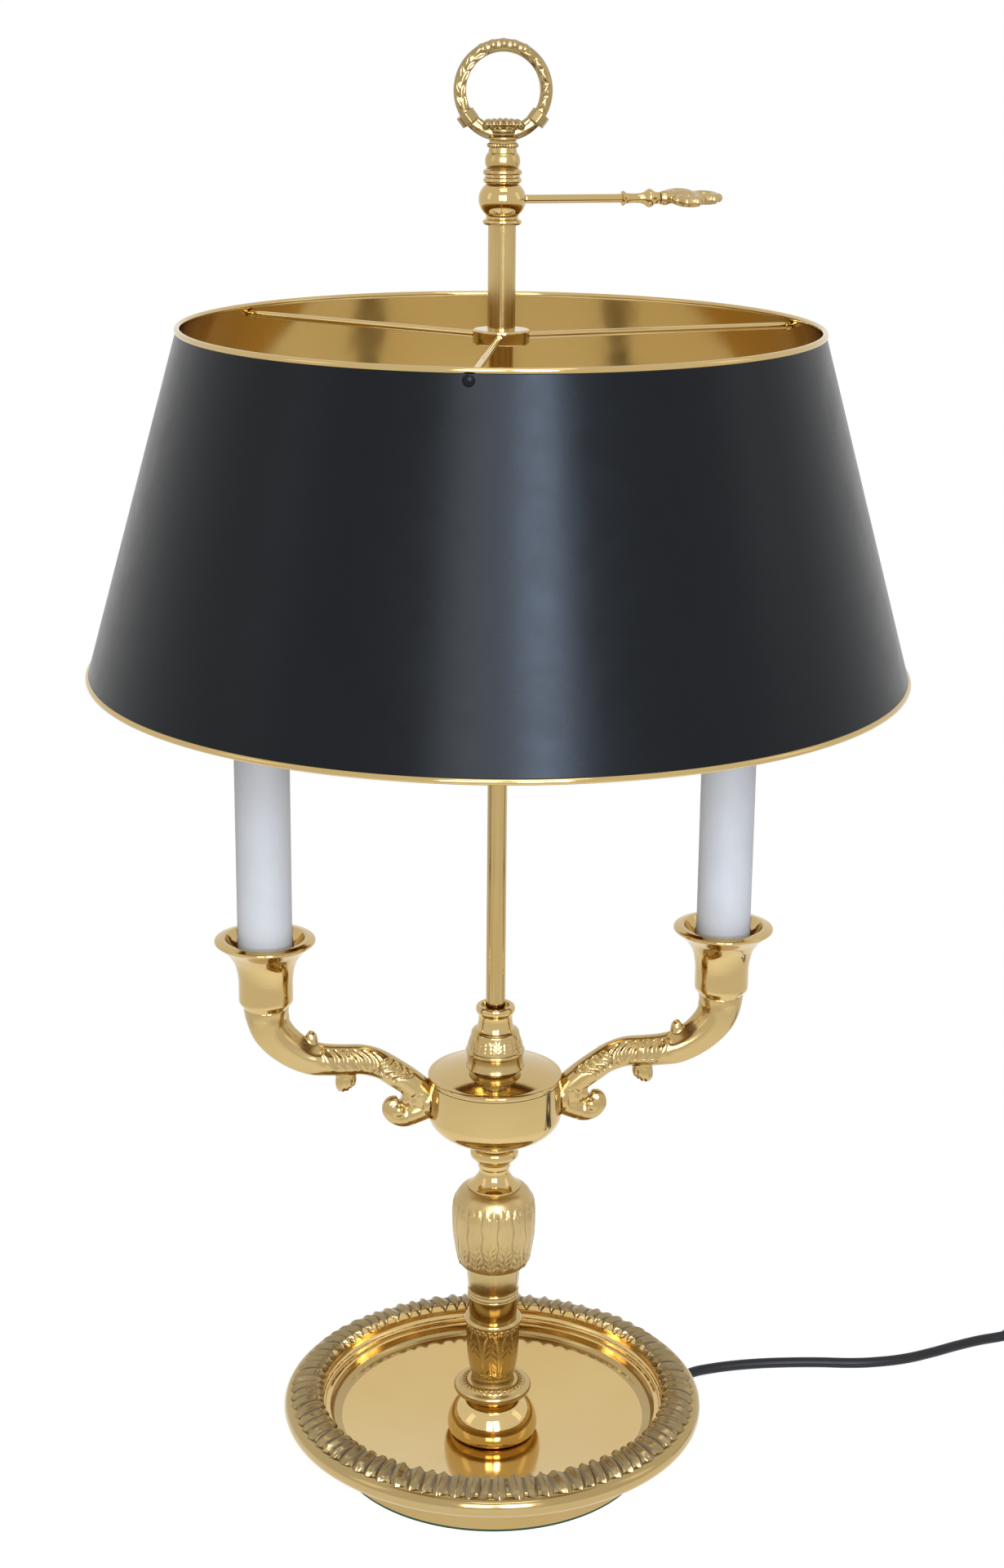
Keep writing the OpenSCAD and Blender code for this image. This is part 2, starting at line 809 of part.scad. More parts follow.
module ring_finial() {
    low = finial_top_z;
    color(brass) difference() {
        union() {
            translate([0, 0, ring_z]) rotate([90, 0, 0]) rotate_extrude()
                translate([ring_r, 0]) circle(r = ring_section_r, $fn = 32);
            for (i = [-2:2])
                on_wreath(90 + i * 14) sphere(r = 2.1, $fn = 32);
            for (a = [215, 325])
                on_wreath(a) sphere(r = ring_section_r + 0.2, $fn = 32);
            translate([0, 0, low + 4.6]) rotate([0, 90, 0]) rotate_extrude()
                polygon([[0, -8.2], [1.5, -6.4], [2.7, -2.4], [2.7, 2.4], [1.5, 6.4], [0, 8.2]]);
            for (side = [-1, 1])
                translate([side * 6.9, 0, low + 2.3]) rotate([90, 0, 0])
                    cylinder(r = 2, h = 5.6, center = true);
            bore(4.8, low, low + 3);
        }
        translate([0, 0, low - 10]) cube([60, 60, 20], center = true);
        for (side = [-1, 1])
            translate([side * 10.6, 0, low]) cube([10, 20, 1.6], center = true);
    }
    color(brass) bore(1.5, low - 3.4, low + 1);
}

// A place on the wreath ring at angle a, on the ring's outer half
module on_wreath(a) {
    reach = ring_r + 0.4;
    translate([reach * cos(a), 0, ring_z + reach * sin(a)]) children();
}

// ---------- sliding carrier ----------

module clamp_ball() {
    low = ball_low_z;
    high = ball_high_z;
    color(brass) difference() {
        rotate_extrude() polygon(concat(
            [[0, low], [7.2, low]],
            bend(7, low + 1, 0.9, 1, -50, 80, 5),
            [[6.6, low + 2.3], [6.6, low + 3.2]],
            bend(0, clamp_z, 9.8, 8.4, -47, 47, 14),
            [[6.3, high - 3.6]],
            bend(6.8, high - 1.9, 1, 1.2, -80, 60, 5),
            [[7.5, high - 0.4], [7.2, high], [0, high]]
        ));
        bore(rod_r + running, low - 1, high + 1);
        bore(slide_r + 0.02, low - 1, low + 3.6);
        rotate([0, 0, key_angle]) translate([0, 0, clamp_z]) rotate([0, 90, 0])
            cylinder(r = 1.85, h = 12, $fn = 32);
    }
}

module slide_tube() {
    color(brass) difference() {
        union() {
            bore(slide_r, hub_disc_z + hub_disc_t, ball_low_z + 3.5);
            bore(slide_bore_r, spigot_low_z, hub_disc_z + hub_disc_t + 1);
        }
        bore(rod_r + 0.15, spigot_low_z - 1, ball_low_z + 4);
        bore(slide_bore_r, bush_low_z, bush_low_z + bush_h);
    }
}

// Split bush that snaps into the slide tube's recess and runs on the rod
module guide_bush() {
    color("#d9d2c0") difference() {
        bore(slide_bore_r - 0.04, bush_low_z + 0.1, bush_low_z + bush_h - 0.1);
        bore(rod_r + 0.04, bush_low_z - 1, bush_low_z + bush_h + 1);
        translate([-0.4, 0, bush_low_z - 1]) cube([0.8, 10, bush_h + 2]);
    }
}

module spider_hub() {
    z = hub_disc_z;
    color(brass) difference() {
        turned(
            concat(
                [[0, z], [hub_disc_r - 1.6, z]],
                bend(hub_disc_r - 1, z + hub_disc_t / 2, 1, hub_disc_t / 2, -80, 80, 6),
                [[hub_disc_r - 2.4, z + hub_disc_t], [0, z + hub_disc_t]]
            ),
            slide_bore_r + 0.02
        );
        for (a = spider_angles)
            rotate([0, 0, a]) translate([8, 0, spider_z]) rotate([0, 90, 0])
                cylinder(r = spider_r + 0.02, h = 8, $fn = 32);
    }
}

module spider_arms() {
    tip = shade_at(spider_z) - shade_t - 0.7;
    rod_in = 8.5;
    tab_r = 2;
    tab_t = 2.4;
    color(brass) for (a = spider_angles)
        rotate([0, 0, a]) translate([0, 0, spider_z]) rotate([0, 90, 0]) difference() {
            union() {
                translate([0, 0, rod_in]) cylinder(r = spider_r, h = tip - rod_in - tab_t / 2, $fn = 48);
                translate([0, 0, tip - tab_t]) cylinder(r = tab_r, h = tab_t, $fn = 48);
            }
            translate([0, 0, tip - 5]) cylinder(r = 1.02, h = 9, $fn = 32);
        }
}

module spider_rivets() {
    color(jet) for (a = spider_angles)
        rotate([0, 0, a]) translate([shade_at(spider_z), 0, spider_z]) rotate([0, 90, 0]) {
            translate([0, 0, -3.6]) cylinder(r = 1, h = 4.2, $fn = 32);
            translate([0, 0, 0.6]) rotate_extrude($fn = 48)
                polygon(concat([[0, 0]], bend(0, 0, 2.4, 1.3, 0, 90, 6)));
        }
}

module shade_shell() {
    low = shade_z + bead_r;
    high = shade_top_z - bead_r;
    color(jet) difference() {
        rotate_extrude() polygon([
            [shade_at(low) - shade_t, low], [shade_at(low), low],
            [shade_at(high), high], [shade_at(high) - shade_t, high]
        ]);
        for (a = spider_angles)
            rotate([0, 0, a]) translate([shade_at(spider_z) - 4, 0, spider_z]) rotate([0, 90, 0])
                cylinder(r = 1.02, h = 8, $fn = 32);
    }
}

// Rolled bead whose slot takes the edge of the shade's wall
module rim_bead(z, wall_from, wall_to) {
    color(brass) rotate_extrude($fn = 120) difference() {
        translate([shade_at(z) - shade_t / 2, z]) circle(r = bead_r, $fn = 32);
        polygon([
            [shade_at(wall_from) - shade_t, wall_from], [shade_at(wall_from), wall_from],
            [shade_at(wall_to), wall_to], [shade_at(wall_to) - shade_t, wall_to]
        ]);
    }
}

module rim_bead_bottom() {
    rim_bead(shade_z + bead_r, shade_z + bead_r, shade_z + 3 * bead_r);
}

module rim_bead_top() {
    rim_bead(shade_top_z - bead_r, shade_top_z - 3 * bead_r, shade_top_z - bead_r);
}

// ---------- key ----------

module on_key_axis(r) {
    rotate([0, 0, key_angle]) translate([r, 0, clamp_z]) rotate([0, 90, 0]) children();
}

module key_screw() {
    color(brass) on_key_axis(rod_r + loose) {
        cylinder(r = 1.8, h = 48, $fn = 48);
        translate([0, 0, 46.4]) rotate_extrude() polygon([
            [0, 0], [2.9, 0], [3, 0.6], [2.9, 1.2], [2.3, 1.6], [1.9, 7.6], [2.2, 9.4], [3.2, 10.4],
            [3.75, 11.4], [3.6, 12.4], [2.2, 13.4], [1.6, 14.6], [1.8, 16], [0, 16]
        ]);
    }
}

module key_bow() {
    start = rod_r + loose + 62.4;
    color(brass) on_key_axis(start) rotate([0, 0, 96]) {
        cylinder(r1 = 1.8, r2 = 2.6, h = 4, $fn = 48);
        rotate([90, 0, 0]) linear_extrude(height = 3, center = true) difference() {
            union() {
                translate([0, 5]) square([5, 6], center = true);
                for (side = [-1, 1]) translate([side * 6.4, 11]) circle(r = 5.8);
                translate([0, 20]) circle(r = 7.2);
                translate([0, 12]) circle(r = 6.6);
            }
            for (side = [-1, 1]) translate([side * 7, 11]) circle(r = 2.6);
            translate([0, 21]) circle(r = 3.2);
        }
    }
}

// ---------- cord, switch and plug ----------

module cord_lead() {
    line = smooth(lead_route, 2);
    color(jet) tube_along(line, even(cord_r, line), 10);
}

module cord_tail() {
    link = smooth(link_route, 2);
    tail = smooth(tail_route, 2);
    color(jet) {
        tube_along(link, even(cord_r, link), 10);
        tube_along(tail, even(cord_r, tail), 10);
    }
}

module cord_coil() {
    round_r = 2;
    low_r = coil_mean_r - coil_wide / 2 + round_r;
    high_r = coil_mean_r + coil_wide / 2 - round_r;
    high_z = coil_high - round_r;
    color(jet) translate([coil_x, coil_y, coil_z]) rotate_extrude() polygon(concat(
        bend(high_r, round_r, round_r, round_r, -90, 0, 3),
        bend(high_r, high_z, round_r, round_r, 0, 90, 3),
        bend(low_r, high_z, round_r, round_r, 90, 180, 3),
        bend(low_r, round_r, round_r, round_r, 180, 270, 3)
    ));
}

module coil_tie() {
    tie_t = 0.8;
    wide = coil_wide + 0.6;
    high = coil_high + 0.1;
    tie_w = 5;
    color("#303033") translate([coil_x, coil_y, coil_z]) rotate([0, 0, 20]) translate([coil_mean_r, 0, 0])
        difference() {
            translate([-wide / 2 - tie_t, -tie_w / 2, -tie_t])
                cube([wide + 2 * tie_t, tie_w, high + 2 * tie_t]);
            translate([-wide / 2, -tie_w, 0]) cube([wide, 2 * tie_w, high]);
        }
}

// Half of the switch housing's outside, between heights z0 and z1
module switch_block(z0, z1, shrink) {
    corner_r = 6;
    long = switch_l - 2 * shrink;
    wide = switch_w - 2 * shrink;
    translate([0, 0, z0]) linear_extrude(height = z1 - z0) {
        square([long - 2 * corner_r, wide], center = true);
        square([long, wide - 2 * corner_r], center = true);
        for (x = [-1, 1], y = [-1, 1])
            translate([x * (long / 2 - corner_r), y * (wide / 2 - corner_r)])
                circle(r = corner_r, $fn = 48);
    }
}

module at_switch() {
    translate([switch_x, switch_y, 0]) children();
}

module switch_lead_hole() {
    translate([0, 0, switch_axis_z]) rotate([0, 90, 0])
        cylinder(r = cord_r - grip, h = switch_l + 2, center = true, $fn = 48);
}

module switch_bottom() {
    color(jet) at_switch() difference() {
        union() {
            difference() {
                switch_block(0, switch_axis_z, 0);
                switch_block(switch_wall, switch_axis_z + 1, switch_wall);
            }
            for (side = [-1, 1]) translate([side * screw_x, 0, switch_wall]) switch_post(3.2);
        }
        for (side = [-1, 1]) translate([side * screw_x, 0, -1]) {
            switch_post(1.3, 20);
            switch_post(2.6, 2.2);
        }
        switch_lead_hole();
    }
}

// Screw posts stand beside the lead
module switch_post(r, h = switch_axis_z - switch_wall) {
    translate([0, screw_y, 0]) cylinder(r = r, h = h, $fn = 32);
}

module switch_top() {
    window_l = 15.6;
    window_w = rocker_w + 0.4;
    color(jet) at_switch() difference() {
        union() {
            difference() {
                switch_block(switch_axis_z, switch_h, 0);
                switch_block(switch_axis_z - 1, switch_h - switch_wall, switch_wall);
            }
            for (side = [-1, 1]) translate([side * screw_x, 0, switch_axis_z]) switch_post(3.2, 7);
            for (side = [-1, 1])
                translate([-3, side * (window_w / 2 + 1) - 1, rocker_pivot_z - 2.6]) cube([6, 2, 4]);
        }
        translate([0, 0, switch_h]) cube([window_l, window_w, 10], center = true);
        translate([0, 0, rocker_pivot_z]) rotate([90, 0, 0])
            cylinder(r = 1.25, h = window_w + 4.2, center = true, $fn = 32);
        for (side = [-1, 1]) translate([side * screw_x, 0, switch_axis_z - 1]) switch_post(1.3, 6);
        switch_lead_hole();
    }
}

module switch_rocker() {
    color("#2a2a2c") at_switch() translate([0, 0, rocker_pivot_z]) rotate([0, -rocker_tilt, 0]) {
        rotate([90, 0, 0]) linear_extrude(height = rocker_w, center = true)
            polygon([[-7.2, 2.9], [0, 3.7], [7.2, 2.9], [6.6, 0.4], [2.6, -2], [-2.6, -2], [-6.6, 0.4]]);
        rotate([90, 0, 0]) cylinder(r = 1.2, h = 14, center = true, $fn = 32);
    }
}

// Two contact strips under the rocker, one on each side of the lead
module switch_contacts() {
    color(brass) at_switch() for (side = [-1, 1])
        translate([-6, side * 4.2 - 0.75, switch_wall]) cube([12, 1.5, 7.8]);
}

module switch_screws() {
    color(steel) at_switch() for (side = [-1, 1]) translate([side * screw_x, screw_y, 0]) {
        translate([0, 0, 0.2]) cylinder(r = 2.5, h = 1, $fn = 32);
        translate([0, 0, 0.2]) cylinder(r = 1.25, h = 11, $fn = 32);
    }
}

// The plug's pins point along -X and the lead comes in from +X
module at_plug() {
    translate([plug_x, plug_y, plug_t / 2]) rotate([0, 0, 180]) children();
}

module plug_body() {
    half = plug_t / 2;
    color(jet) at_plug() difference() {
        union() {
            translate([0, 0, -half]) linear_extrude(height = plug_t) polygon([
                [2, -4.6], [8, -5.4], [16, -8.4], [24, -14], [28, -16.6], [30, -17.6], [plug_l, -17.6],
                [plug_l, 17.6], [30, 17.6], [28, 16.6], [24, 14], [16, 8.4], [8, 5.4], [2, 4.6]
            ]);
            translate([-6, 0, 0]) rotate([0, 90, 0]) cylinder(r = 3.8, h = 9, $fn = 48);
        }
        for (side = [-1, 1]) translate([plug_l - 9.5, side * pin_gap / 2, 0]) rotate([0, 90, 0])
            cylinder(r = 2.02, h = 12, $fn = 48);
        translate([-8, 0, 0]) rotate([0, 90, 0]) cylinder(r = cord_r - grip, h = 10, $fn = 48);
    }
}

module plug_pins() {
    color(brass) at_plug() for (side = [-1, 1])
        translate([plug_l - 9.3, side * pin_gap / 2, 0]) rotate([0, 90, 0]) {
            cylinder(r = 2, h = 26.8, $fn = 48);
            translate([0, 0, 26.8]) cylinder(r1 = 2, r2 = 1.2, h = 1.5, $fn = 48);
        }
}

foot_felt();
base_dish();
cord_bushing();
cord_clamp();
clamp_screws();
stem_tube();
stem_ball();
stem_flange();
stem_sleeve();
stem_band();
stem_urn();
stem_neck();
pipe_locknuts();
hub_bowl();
hub_lid();
hub_bell();
rod_collar();
rod();
rod_nut();
connector_block();
arm_left();
arm_right();
arm_nuts();
cup_left();
cup_right();
holder_nipples();
lampholder_left();
lampholder_right();
candle_left();
candle_right();
bulb_glass_left();
bulb_glass_right();
bulb_caps();
stem_wire();
arm_wires();
finial_neck();
ring_finial();
clamp_ball();
slide_tube();
guide_bush();
spider_hub();
spider_arms();
spider_rivets();
shade_shell();
rim_bead_top();
rim_bead_bottom();
key_screw();
key_bow();
cord_lead();
cord_tail();
cord_coil();
coil_tie();
switch_bottom();
switch_top();
switch_rocker();
switch_screws();
switch_contacts();
plug_body();
plug_pins();
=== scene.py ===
"""Bouillotte lamp: the looks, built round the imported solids. Outlines are in millimetres."""

from math import atan2, copysign, cos, degrees, hypot, pi, radians, sin, tau

import bmesh
import bpy
from mathutils import Matrix, Vector, kdtree


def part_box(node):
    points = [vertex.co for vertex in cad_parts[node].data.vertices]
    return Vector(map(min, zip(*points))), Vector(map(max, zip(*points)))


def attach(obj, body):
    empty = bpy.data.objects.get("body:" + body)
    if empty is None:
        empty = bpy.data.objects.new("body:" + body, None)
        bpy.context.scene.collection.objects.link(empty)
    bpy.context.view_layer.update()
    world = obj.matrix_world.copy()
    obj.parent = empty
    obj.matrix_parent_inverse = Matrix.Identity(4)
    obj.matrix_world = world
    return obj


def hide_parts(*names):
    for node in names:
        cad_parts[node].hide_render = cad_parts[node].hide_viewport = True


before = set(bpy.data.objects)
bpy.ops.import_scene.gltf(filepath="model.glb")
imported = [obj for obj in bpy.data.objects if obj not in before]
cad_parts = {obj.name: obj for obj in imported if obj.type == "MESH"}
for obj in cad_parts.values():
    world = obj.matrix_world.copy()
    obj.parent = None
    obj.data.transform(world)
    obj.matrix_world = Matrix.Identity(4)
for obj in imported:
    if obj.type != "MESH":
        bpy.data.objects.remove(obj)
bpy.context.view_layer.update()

MM = 0.001
RIGHT_AND_LEFT = (1, -1)
SEAM_GAP = 0.003
PIPE_BORE = 5.1
ROD_BORE = 4.36


# ---------- sizes from the solids ----------

def levels(node):
    """Lowest and highest level of a node, in millimetres."""
    low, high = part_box(node)
    return low[2] / MM, high[2] / MM


def span(node):
    """Lowest level of a node and its height, in millimetres."""
    low, high = levels(node)
    return low, high - low


def half_width(node):
    """Half the node's width along X, in millimetres."""
    low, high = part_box(node)
    return (high[0] - low[0]) / 2 / MM


ARM_REACH = sum(corner[0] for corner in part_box("candle_right")) / 2 / MM
CANDLE_R = half_width("candle_right")
KEY_ANGLE = radians(8)
CLAMP_Z = 573.8
SPIDER_ANGLES = (15, 140, 259)


# ---------- curves ----------

def arc(r, z, across, up, start, end, steps=10):
    """Points of an ellipse's arc in the radius-height plane, from one angle to another."""
    angles = [radians(start + (end - start) * i / steps) for i in range(steps + 1)]
    return [(r + across * cos(a), z + up * sin(a)) for a in angles]


def smooth(points, pieces):
    """A smooth curve through points of any length, with that many pieces between neighbours."""
    out = []
    padded = [points[0], *points, points[-1]]
    for four in zip(padded, padded[1:], padded[2:], padded[3:]):
        for k in range(pieces):
            t = k / pieces
            out.append(tuple(
                0.5 * (2 * b + (c - a) * t + (2 * a - 5 * b + 4 * c - d) * t * t
                       + (3 * b - a - 3 * c + d) * t ** 3)
                for a, b, c, d in zip(*four)))
    out.append(tuple(points[-1]))
    return out


def ease(x, start, end):
    """0 before start, 1 after end, and a smooth rise between them."""
    t = min(max((x - start) / (end - start), 0), 1)
    return t * t * (3 - 2 * t)


def window(x, start, end, edge):
    """1 between start and end, fading out over edge on both sides."""
    return ease(x, start - edge, start) * (1 - ease(x, end, end + edge))


def ridge(x, sharp=1.0):
    """A repeated ridge: 0 at whole numbers and 1 halfway between them."""
    return (1 - abs(2 * (x % 1) - 1)) ** sharp


# ---------- materials ----------

class Shading:
    """A node tree with short ways to add what the materials are made of."""

    def __init__(self, tree):
        self.nodes, self.links = tree.nodes, tree.links

    def value(self, socket, value):
        """Sets a socket to a number, colour or vector, or links it to another socket."""
        if isinstance(value, bpy.types.NodeSocket):
            self.links.new(value, socket)
        elif isinstance(value, tuple):
            socket.default_value = (*value, 1)[:len(socket.default_value)]
        else:
            socket.default_value = value

    def set(self, node, **sockets):
        """Sets a node's sockets, named with _ for a space."""
        for name, value in sockets.items():
            self.value(node.inputs[name.replace("_", " ")], value)

    def add(self, kind, **sockets):
        """A new node with its sockets set."""
        node = self.nodes.new("ShaderNode" + kind)
        self.set(node, **sockets)
        return node

    def place(self):
        """The object's own coordinates, in metres."""
        return self.add("TexCoord").outputs["Object"]

    def noise(self, scale, detail=3.0, rough=0.55, stretch=(1, 1, 1)):
        """Noise on the object's coordinates, so many waves to the metre, squeezed by stretch."""
        squeezed = self.add("Mapping", Vector=self.place(), Scale=stretch).outputs["Vector"]
        noise = self.add("TexNoise", Vector=squeezed, Scale=scale, Detail=detail, Roughness=rough)
        return noise.outputs["Fac"]

    def spread(self, value, low, high, to_low=0.0, to_high=1.0):
        """Maps a value's low to high onto to_low to to_high."""
        return self.add("MapRange", Value=value, From_Min=low, From_Max=high, To_Min=to_low,
                        To_Max=to_high).outputs["Result"]

    def mixed(self, factor, first, second):
        """A colour between two colours or colour sockets."""
        node = self.add("Mix")
        node.data_type = "RGBA"
        for index, value in zip((0, 6, 7), (factor, first, second)):
            self.value(node.inputs[index], value)
        return node.outputs[2]

    def maths(self, operation, *values, clamp=False):
        """The result of a sum on numbers and sockets."""
        node = self.add("Math")
        node.operation, node.use_clamp = operation, clamp
        for socket, value in zip(node.inputs, values):
            self.value(socket, value)
        return node.outputs[0]


class Surface(Shading):
    """A material with one shader."""

    def __init__(self, name):
        self.material = bpy.data.materials.new(name)
        self.material.use_nodes = True
        super().__init__(self.material.node_tree)
        self.shader = self.nodes["Principled BSDF"]

    def bump(self, height, strength, distance, under=None):
        """Gives the shader a bump from a height, on top of another bump where there is one."""
        node = self.add("Bump", Height=height, Strength=strength, Distance=distance)
        if under:
            self.links.new(under, node.inputs["Normal"])
        self.links.new(node.outputs["Normal"], self.shader.inputs["Normal"])
        return node.outputs["Normal"]


def deeper(colour, factor):
    """A darker shade of a colour."""
    return tuple(c * factor for c in colour)


BRASS = (0.66, 0.485, 0.215)
BRASS_WARM = (0.61, 0.415, 0.155)
PATINA = (0.17, 0.125, 0.07)
AGED = (0.19, 0.145, 0.083)
SPECK = (0.03, 0.018, 0.012)


def brass(name, roughness, waves, specks=False, hollows=0.0, tint=0.5, aged=0.0, deep=1.0,
          streaks=0.0, base=BRASS, warm=BRASS_WARM):
    """Lacquered brass: warm clouds, an uneven hand polish, drawing streaks, dull age and patina."""
    paint = Surface(name)
    light, warm = deeper(base, deep), deeper(warm, deep)
    colour = paint.mixed(paint.spread(paint.noise(14), 0.35, 0.7, 0, tint), light, warm)
    if streaks:
        drawing = paint.spread(paint.noise(420, 3, 0.6, (1, 1, 0.02)), 0.42, 0.62, 0, streaks)
        colour = paint.mixed(drawing, colour, deeper(warm, 0.5))
    if aged:
        dull = paint.spread(paint.noise(45, 5, 0.65), 0.3, 0.65, aged * 0.6, aged)
        colour = paint.mixed(dull, colour, AGED)
    metal = 1
    rough = paint.spread(paint.noise(60, 4), 0.3, 0.7, roughness * 0.75, roughness * 1.3)
    if hollows:
        depth = paint.add("Attribute")
        depth.attribute_name = "hollow"
        worn = paint.maths("MULTIPLY_ADD", paint.noise(900, 3), 0.5, depth.outputs["Fac"])
        dirt = paint.spread(worn, 0.5, 1.0, 0, hollows)
        colour = paint.mixed(dirt, colour, PATINA)
        metal = paint.spread(dirt, 0, 1, 1, 0.35)
        rough = paint.maths("MULTIPLY_ADD", dirt, 0.45, rough, clamp=True)
    if specks:
        cells = paint.add("TexVoronoi", Scale=42, Vector=paint.place())
        size = paint.spread(paint.noise(11, 0), 0.52, 0.72, 0, 0.055)
        dot = paint.maths("LESS_THAN", cells.outputs["Distance"], size)
        colour = paint.mixed(dot, colour, SPECK)
        metal = paint.spread(dot, 0, 1, 1, 0)
    paint.set(paint.shader, Base_Color=colour, Roughness=rough, Metallic=metal)
    swell = paint.bump(paint.noise(38, 2), 0.25, waves)
    paint.bump(paint.noise(1500, 2), 0.05, 0.0001, swell)
    return paint.material


def coated(name, colour, roughness, grain=900, depth=0.00005, level=0.5, tint=(1, 1, 1)):
    """Paint, plastic or baize: a colour with slight mottling, a fine grain and its own gloss."""
    paint = Surface(name)
    mottle = paint.spread(paint.noise(25, 4), 0.3, 0.7)
    rough = paint.spread(paint.noise(80, 3), 0.3, 0.7, roughness * 0.9, roughness * 1.1)
    paint.set(paint.shader, Base_Color=paint.mixed(mottle, colour, deeper(colour, 0.86)),
              Roughness=rough, Specular_IOR_Level=level, Specular_Tint=tint)
    paint.bump(paint.noise(grain, 3, 0.6), 0.4, depth)
    return paint.material


polished = brass("polished brass", 0.09, 0.0002, deep=0.85)
# Dish brass: a lighter copy of the polished brass, painted light on the dish floor and the ball;
# its dark specks are the metal's own.
dish_brass_painted_light = brass("polished dish brass lightened as painted light", 0.085, 0.0003, specks=True, deep=0.98)
# Rim brass: a darker copy of the polished brass, painted shade on the dish's rim and foot wall and
# on the stem's beaded band.
rim_brass_painted_shade = brass("polished rim brass darkened as painted shade", 0.12, 0.0004, deep=0.66)
cast = brass("chased cast brass", 0.17, 0.0003, hollows=0.45, deep=0.76)
matt_cast = brass("matt cast brass", 0.3, 0.0003, hollows=0.55, aged=0.25, deep=0.88)
band_brass = brass("leaf band brass", 0.24, 0.0002, hollows=1.0, aged=0.75, deep=0.72)
wreath_brass = brass("wreath brass", 0.24, 0.0002, hollows=0.7, aged=0.4, deep=0.72)
drawn = brass("drawn brass", 0.15, 0.0001, tint=0.8, deep=0.84, streaks=0.4)
gold_lacquer = brass("gold lacquer", 0.13, 0.0005, base=(0.46, 0.30, 0.095),
                     warm=(0.42, 0.25, 0.065))
black_lacquer = coated("satin black lacquer", (0.006, 0.0062, 0.0065), 0.27, 1400, 0.00004, 0.145,
                       (0.8, 0.88, 1))
candle_white = coated("matt white sleeve", (0.53, 0.525, 0.53), 0.55, 300, 0.00008)
holder_black = coated("holder phenolic", (0.03, 0.027, 0.025), 0.4)
cord_black = coated("black cord sheath", (0.009, 0.009, 0.01), 0.42, 1600, 0.00005, 0.3)
plug_black = coated("black moulded plastic", (0.016, 0.016, 0.018), 0.34, 2200, 0.00005)
rocker_black = coated("rocker plastic", (0.03, 0.03, 0.033), 0.25, 2500, 0.00003)
opal = coated("opal glass", (0.87, 0.86, 0.83), 0.12, 60, 0.00003)
baize = coated("green baize", (0.035, 0.075, 0.045), 0.95, 2600, 0.0004, 0.2)
nylon = coated("terminal nylon", (0.72, 0.7, 0.62), 0.4)
wire_white = coated("white wire", (0.78, 0.78, 0.76), 0.4)


def zinc_steel():
    """Zinc-plated steel with a faint turned grain."""
    paint = Surface("zinc plated steel")
    tone = paint.spread(paint.noise(120, 4), 0.3, 0.7)
    colour = paint.mixed(tone, (0.56, 0.56, 0.54), (0.42, 0.42, 0.41))
    paint.set(paint.shader, Base_Color=colour, Metallic=1, Roughness=0.32)
    paint.bump(paint.noise(1200, 2, 0.5, (1, 1, 6)), 0.3, 0.00005)
    return paint.material


zinc = zinc_steel()


# ---------- making pieces ----------

def placed(name, data):
    """A new object in the scene, at the origin."""
    thing = bpy.data.objects.new(name, data)
    bpy.context.scene.collection.objects.link(thing)
    return thing


def mesh_of(name, bm):
    """A bmesh as a mesh."""
    mesh = bpy.data.meshes.new(name)
    bm.to_mesh(mesh)
    bm.free()
    return mesh


def finish_piece(name, bm, materials, slot, *nodes, body="base", crease=38):
    """Turns a bmesh in millimetres into a piece that rides on its body and stands for its nodes."""
    bmesh.ops.scale(bm, vec=(MM, MM, MM), verts=bm.verts)
    mesh = mesh_of(name, bm)
    for material in materials if isinstance(materials, tuple) else (materials,):
        mesh.materials.append(material)
    mesh.shade_smooth()
    mesh.set_sharp_from_angle(angle=radians(crease))
    piece = placed(name, mesh)
    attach(piece, body)
    if nodes:
        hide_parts(*nodes)
    return piece


def turned(outline, bore=None, low=0, steps=160, at=0):
    """A turned part that stands at the level low, at a distance along X from the lamp's axis.

    The outline runs from the bottom up. It gets a bore, or reaches in to the axis where bore is 0.
    Without a bore it is a closed section.
    """
    if bore is not None:
        outline = [(bore, outline[0][1]), *outline, (bore, outline[-1][1])]
    bm = bmesh.new()
    verts = [bm.verts.new((r, 0, low + z)) for r, z in outline]
    pairs = list(zip(verts, verts[1:]))
    if bore != 0:
        pairs.append((verts[-1], verts[0]))
    edges = [bm.edges.new(pair) for pair in pairs]
    bmesh.ops.spin(bm, geom=verts + edges, cent=(0, 0, 0), axis=(0, 0, 1), angle=tau,
                   steps=steps, use_merge=True)
    bmesh.ops.remove_doubles(bm, verts=bm.verts, dist=SEAM_GAP)
    bmesh.ops.dissolve_degenerate(bm, edges=bm.edges, dist=SEAM_GAP / 3)
    bmesh.ops.recalc_face_normals(bm, faces=bm.faces)
    bmesh.ops.translate(bm, vec=(at, 0, 0), verts=bm.verts)
    return bm


def chased(bm, height, deepest=0.6, low=0):
    """Works a pattern into the surface.

    height says how far a point is raised, from its radius, angle and height above the level low.
    """
    hollow = bm.verts.layers.float.new("hollow")
    bm.normal_update()
    raised = []
    for vert in bm.verts:
        r = hypot(vert.co.x, vert.co.y)
        angle = atan2(vert.co.y, vert.co.x)
        h = height(r, angle, vert.co.z - low)
        vert[hollow] = min(max(-h / deepest, 0), 1)
        raised.append((vert, vert.normal * h))
    for vert, move in raised:
        vert.co += move
    return bm


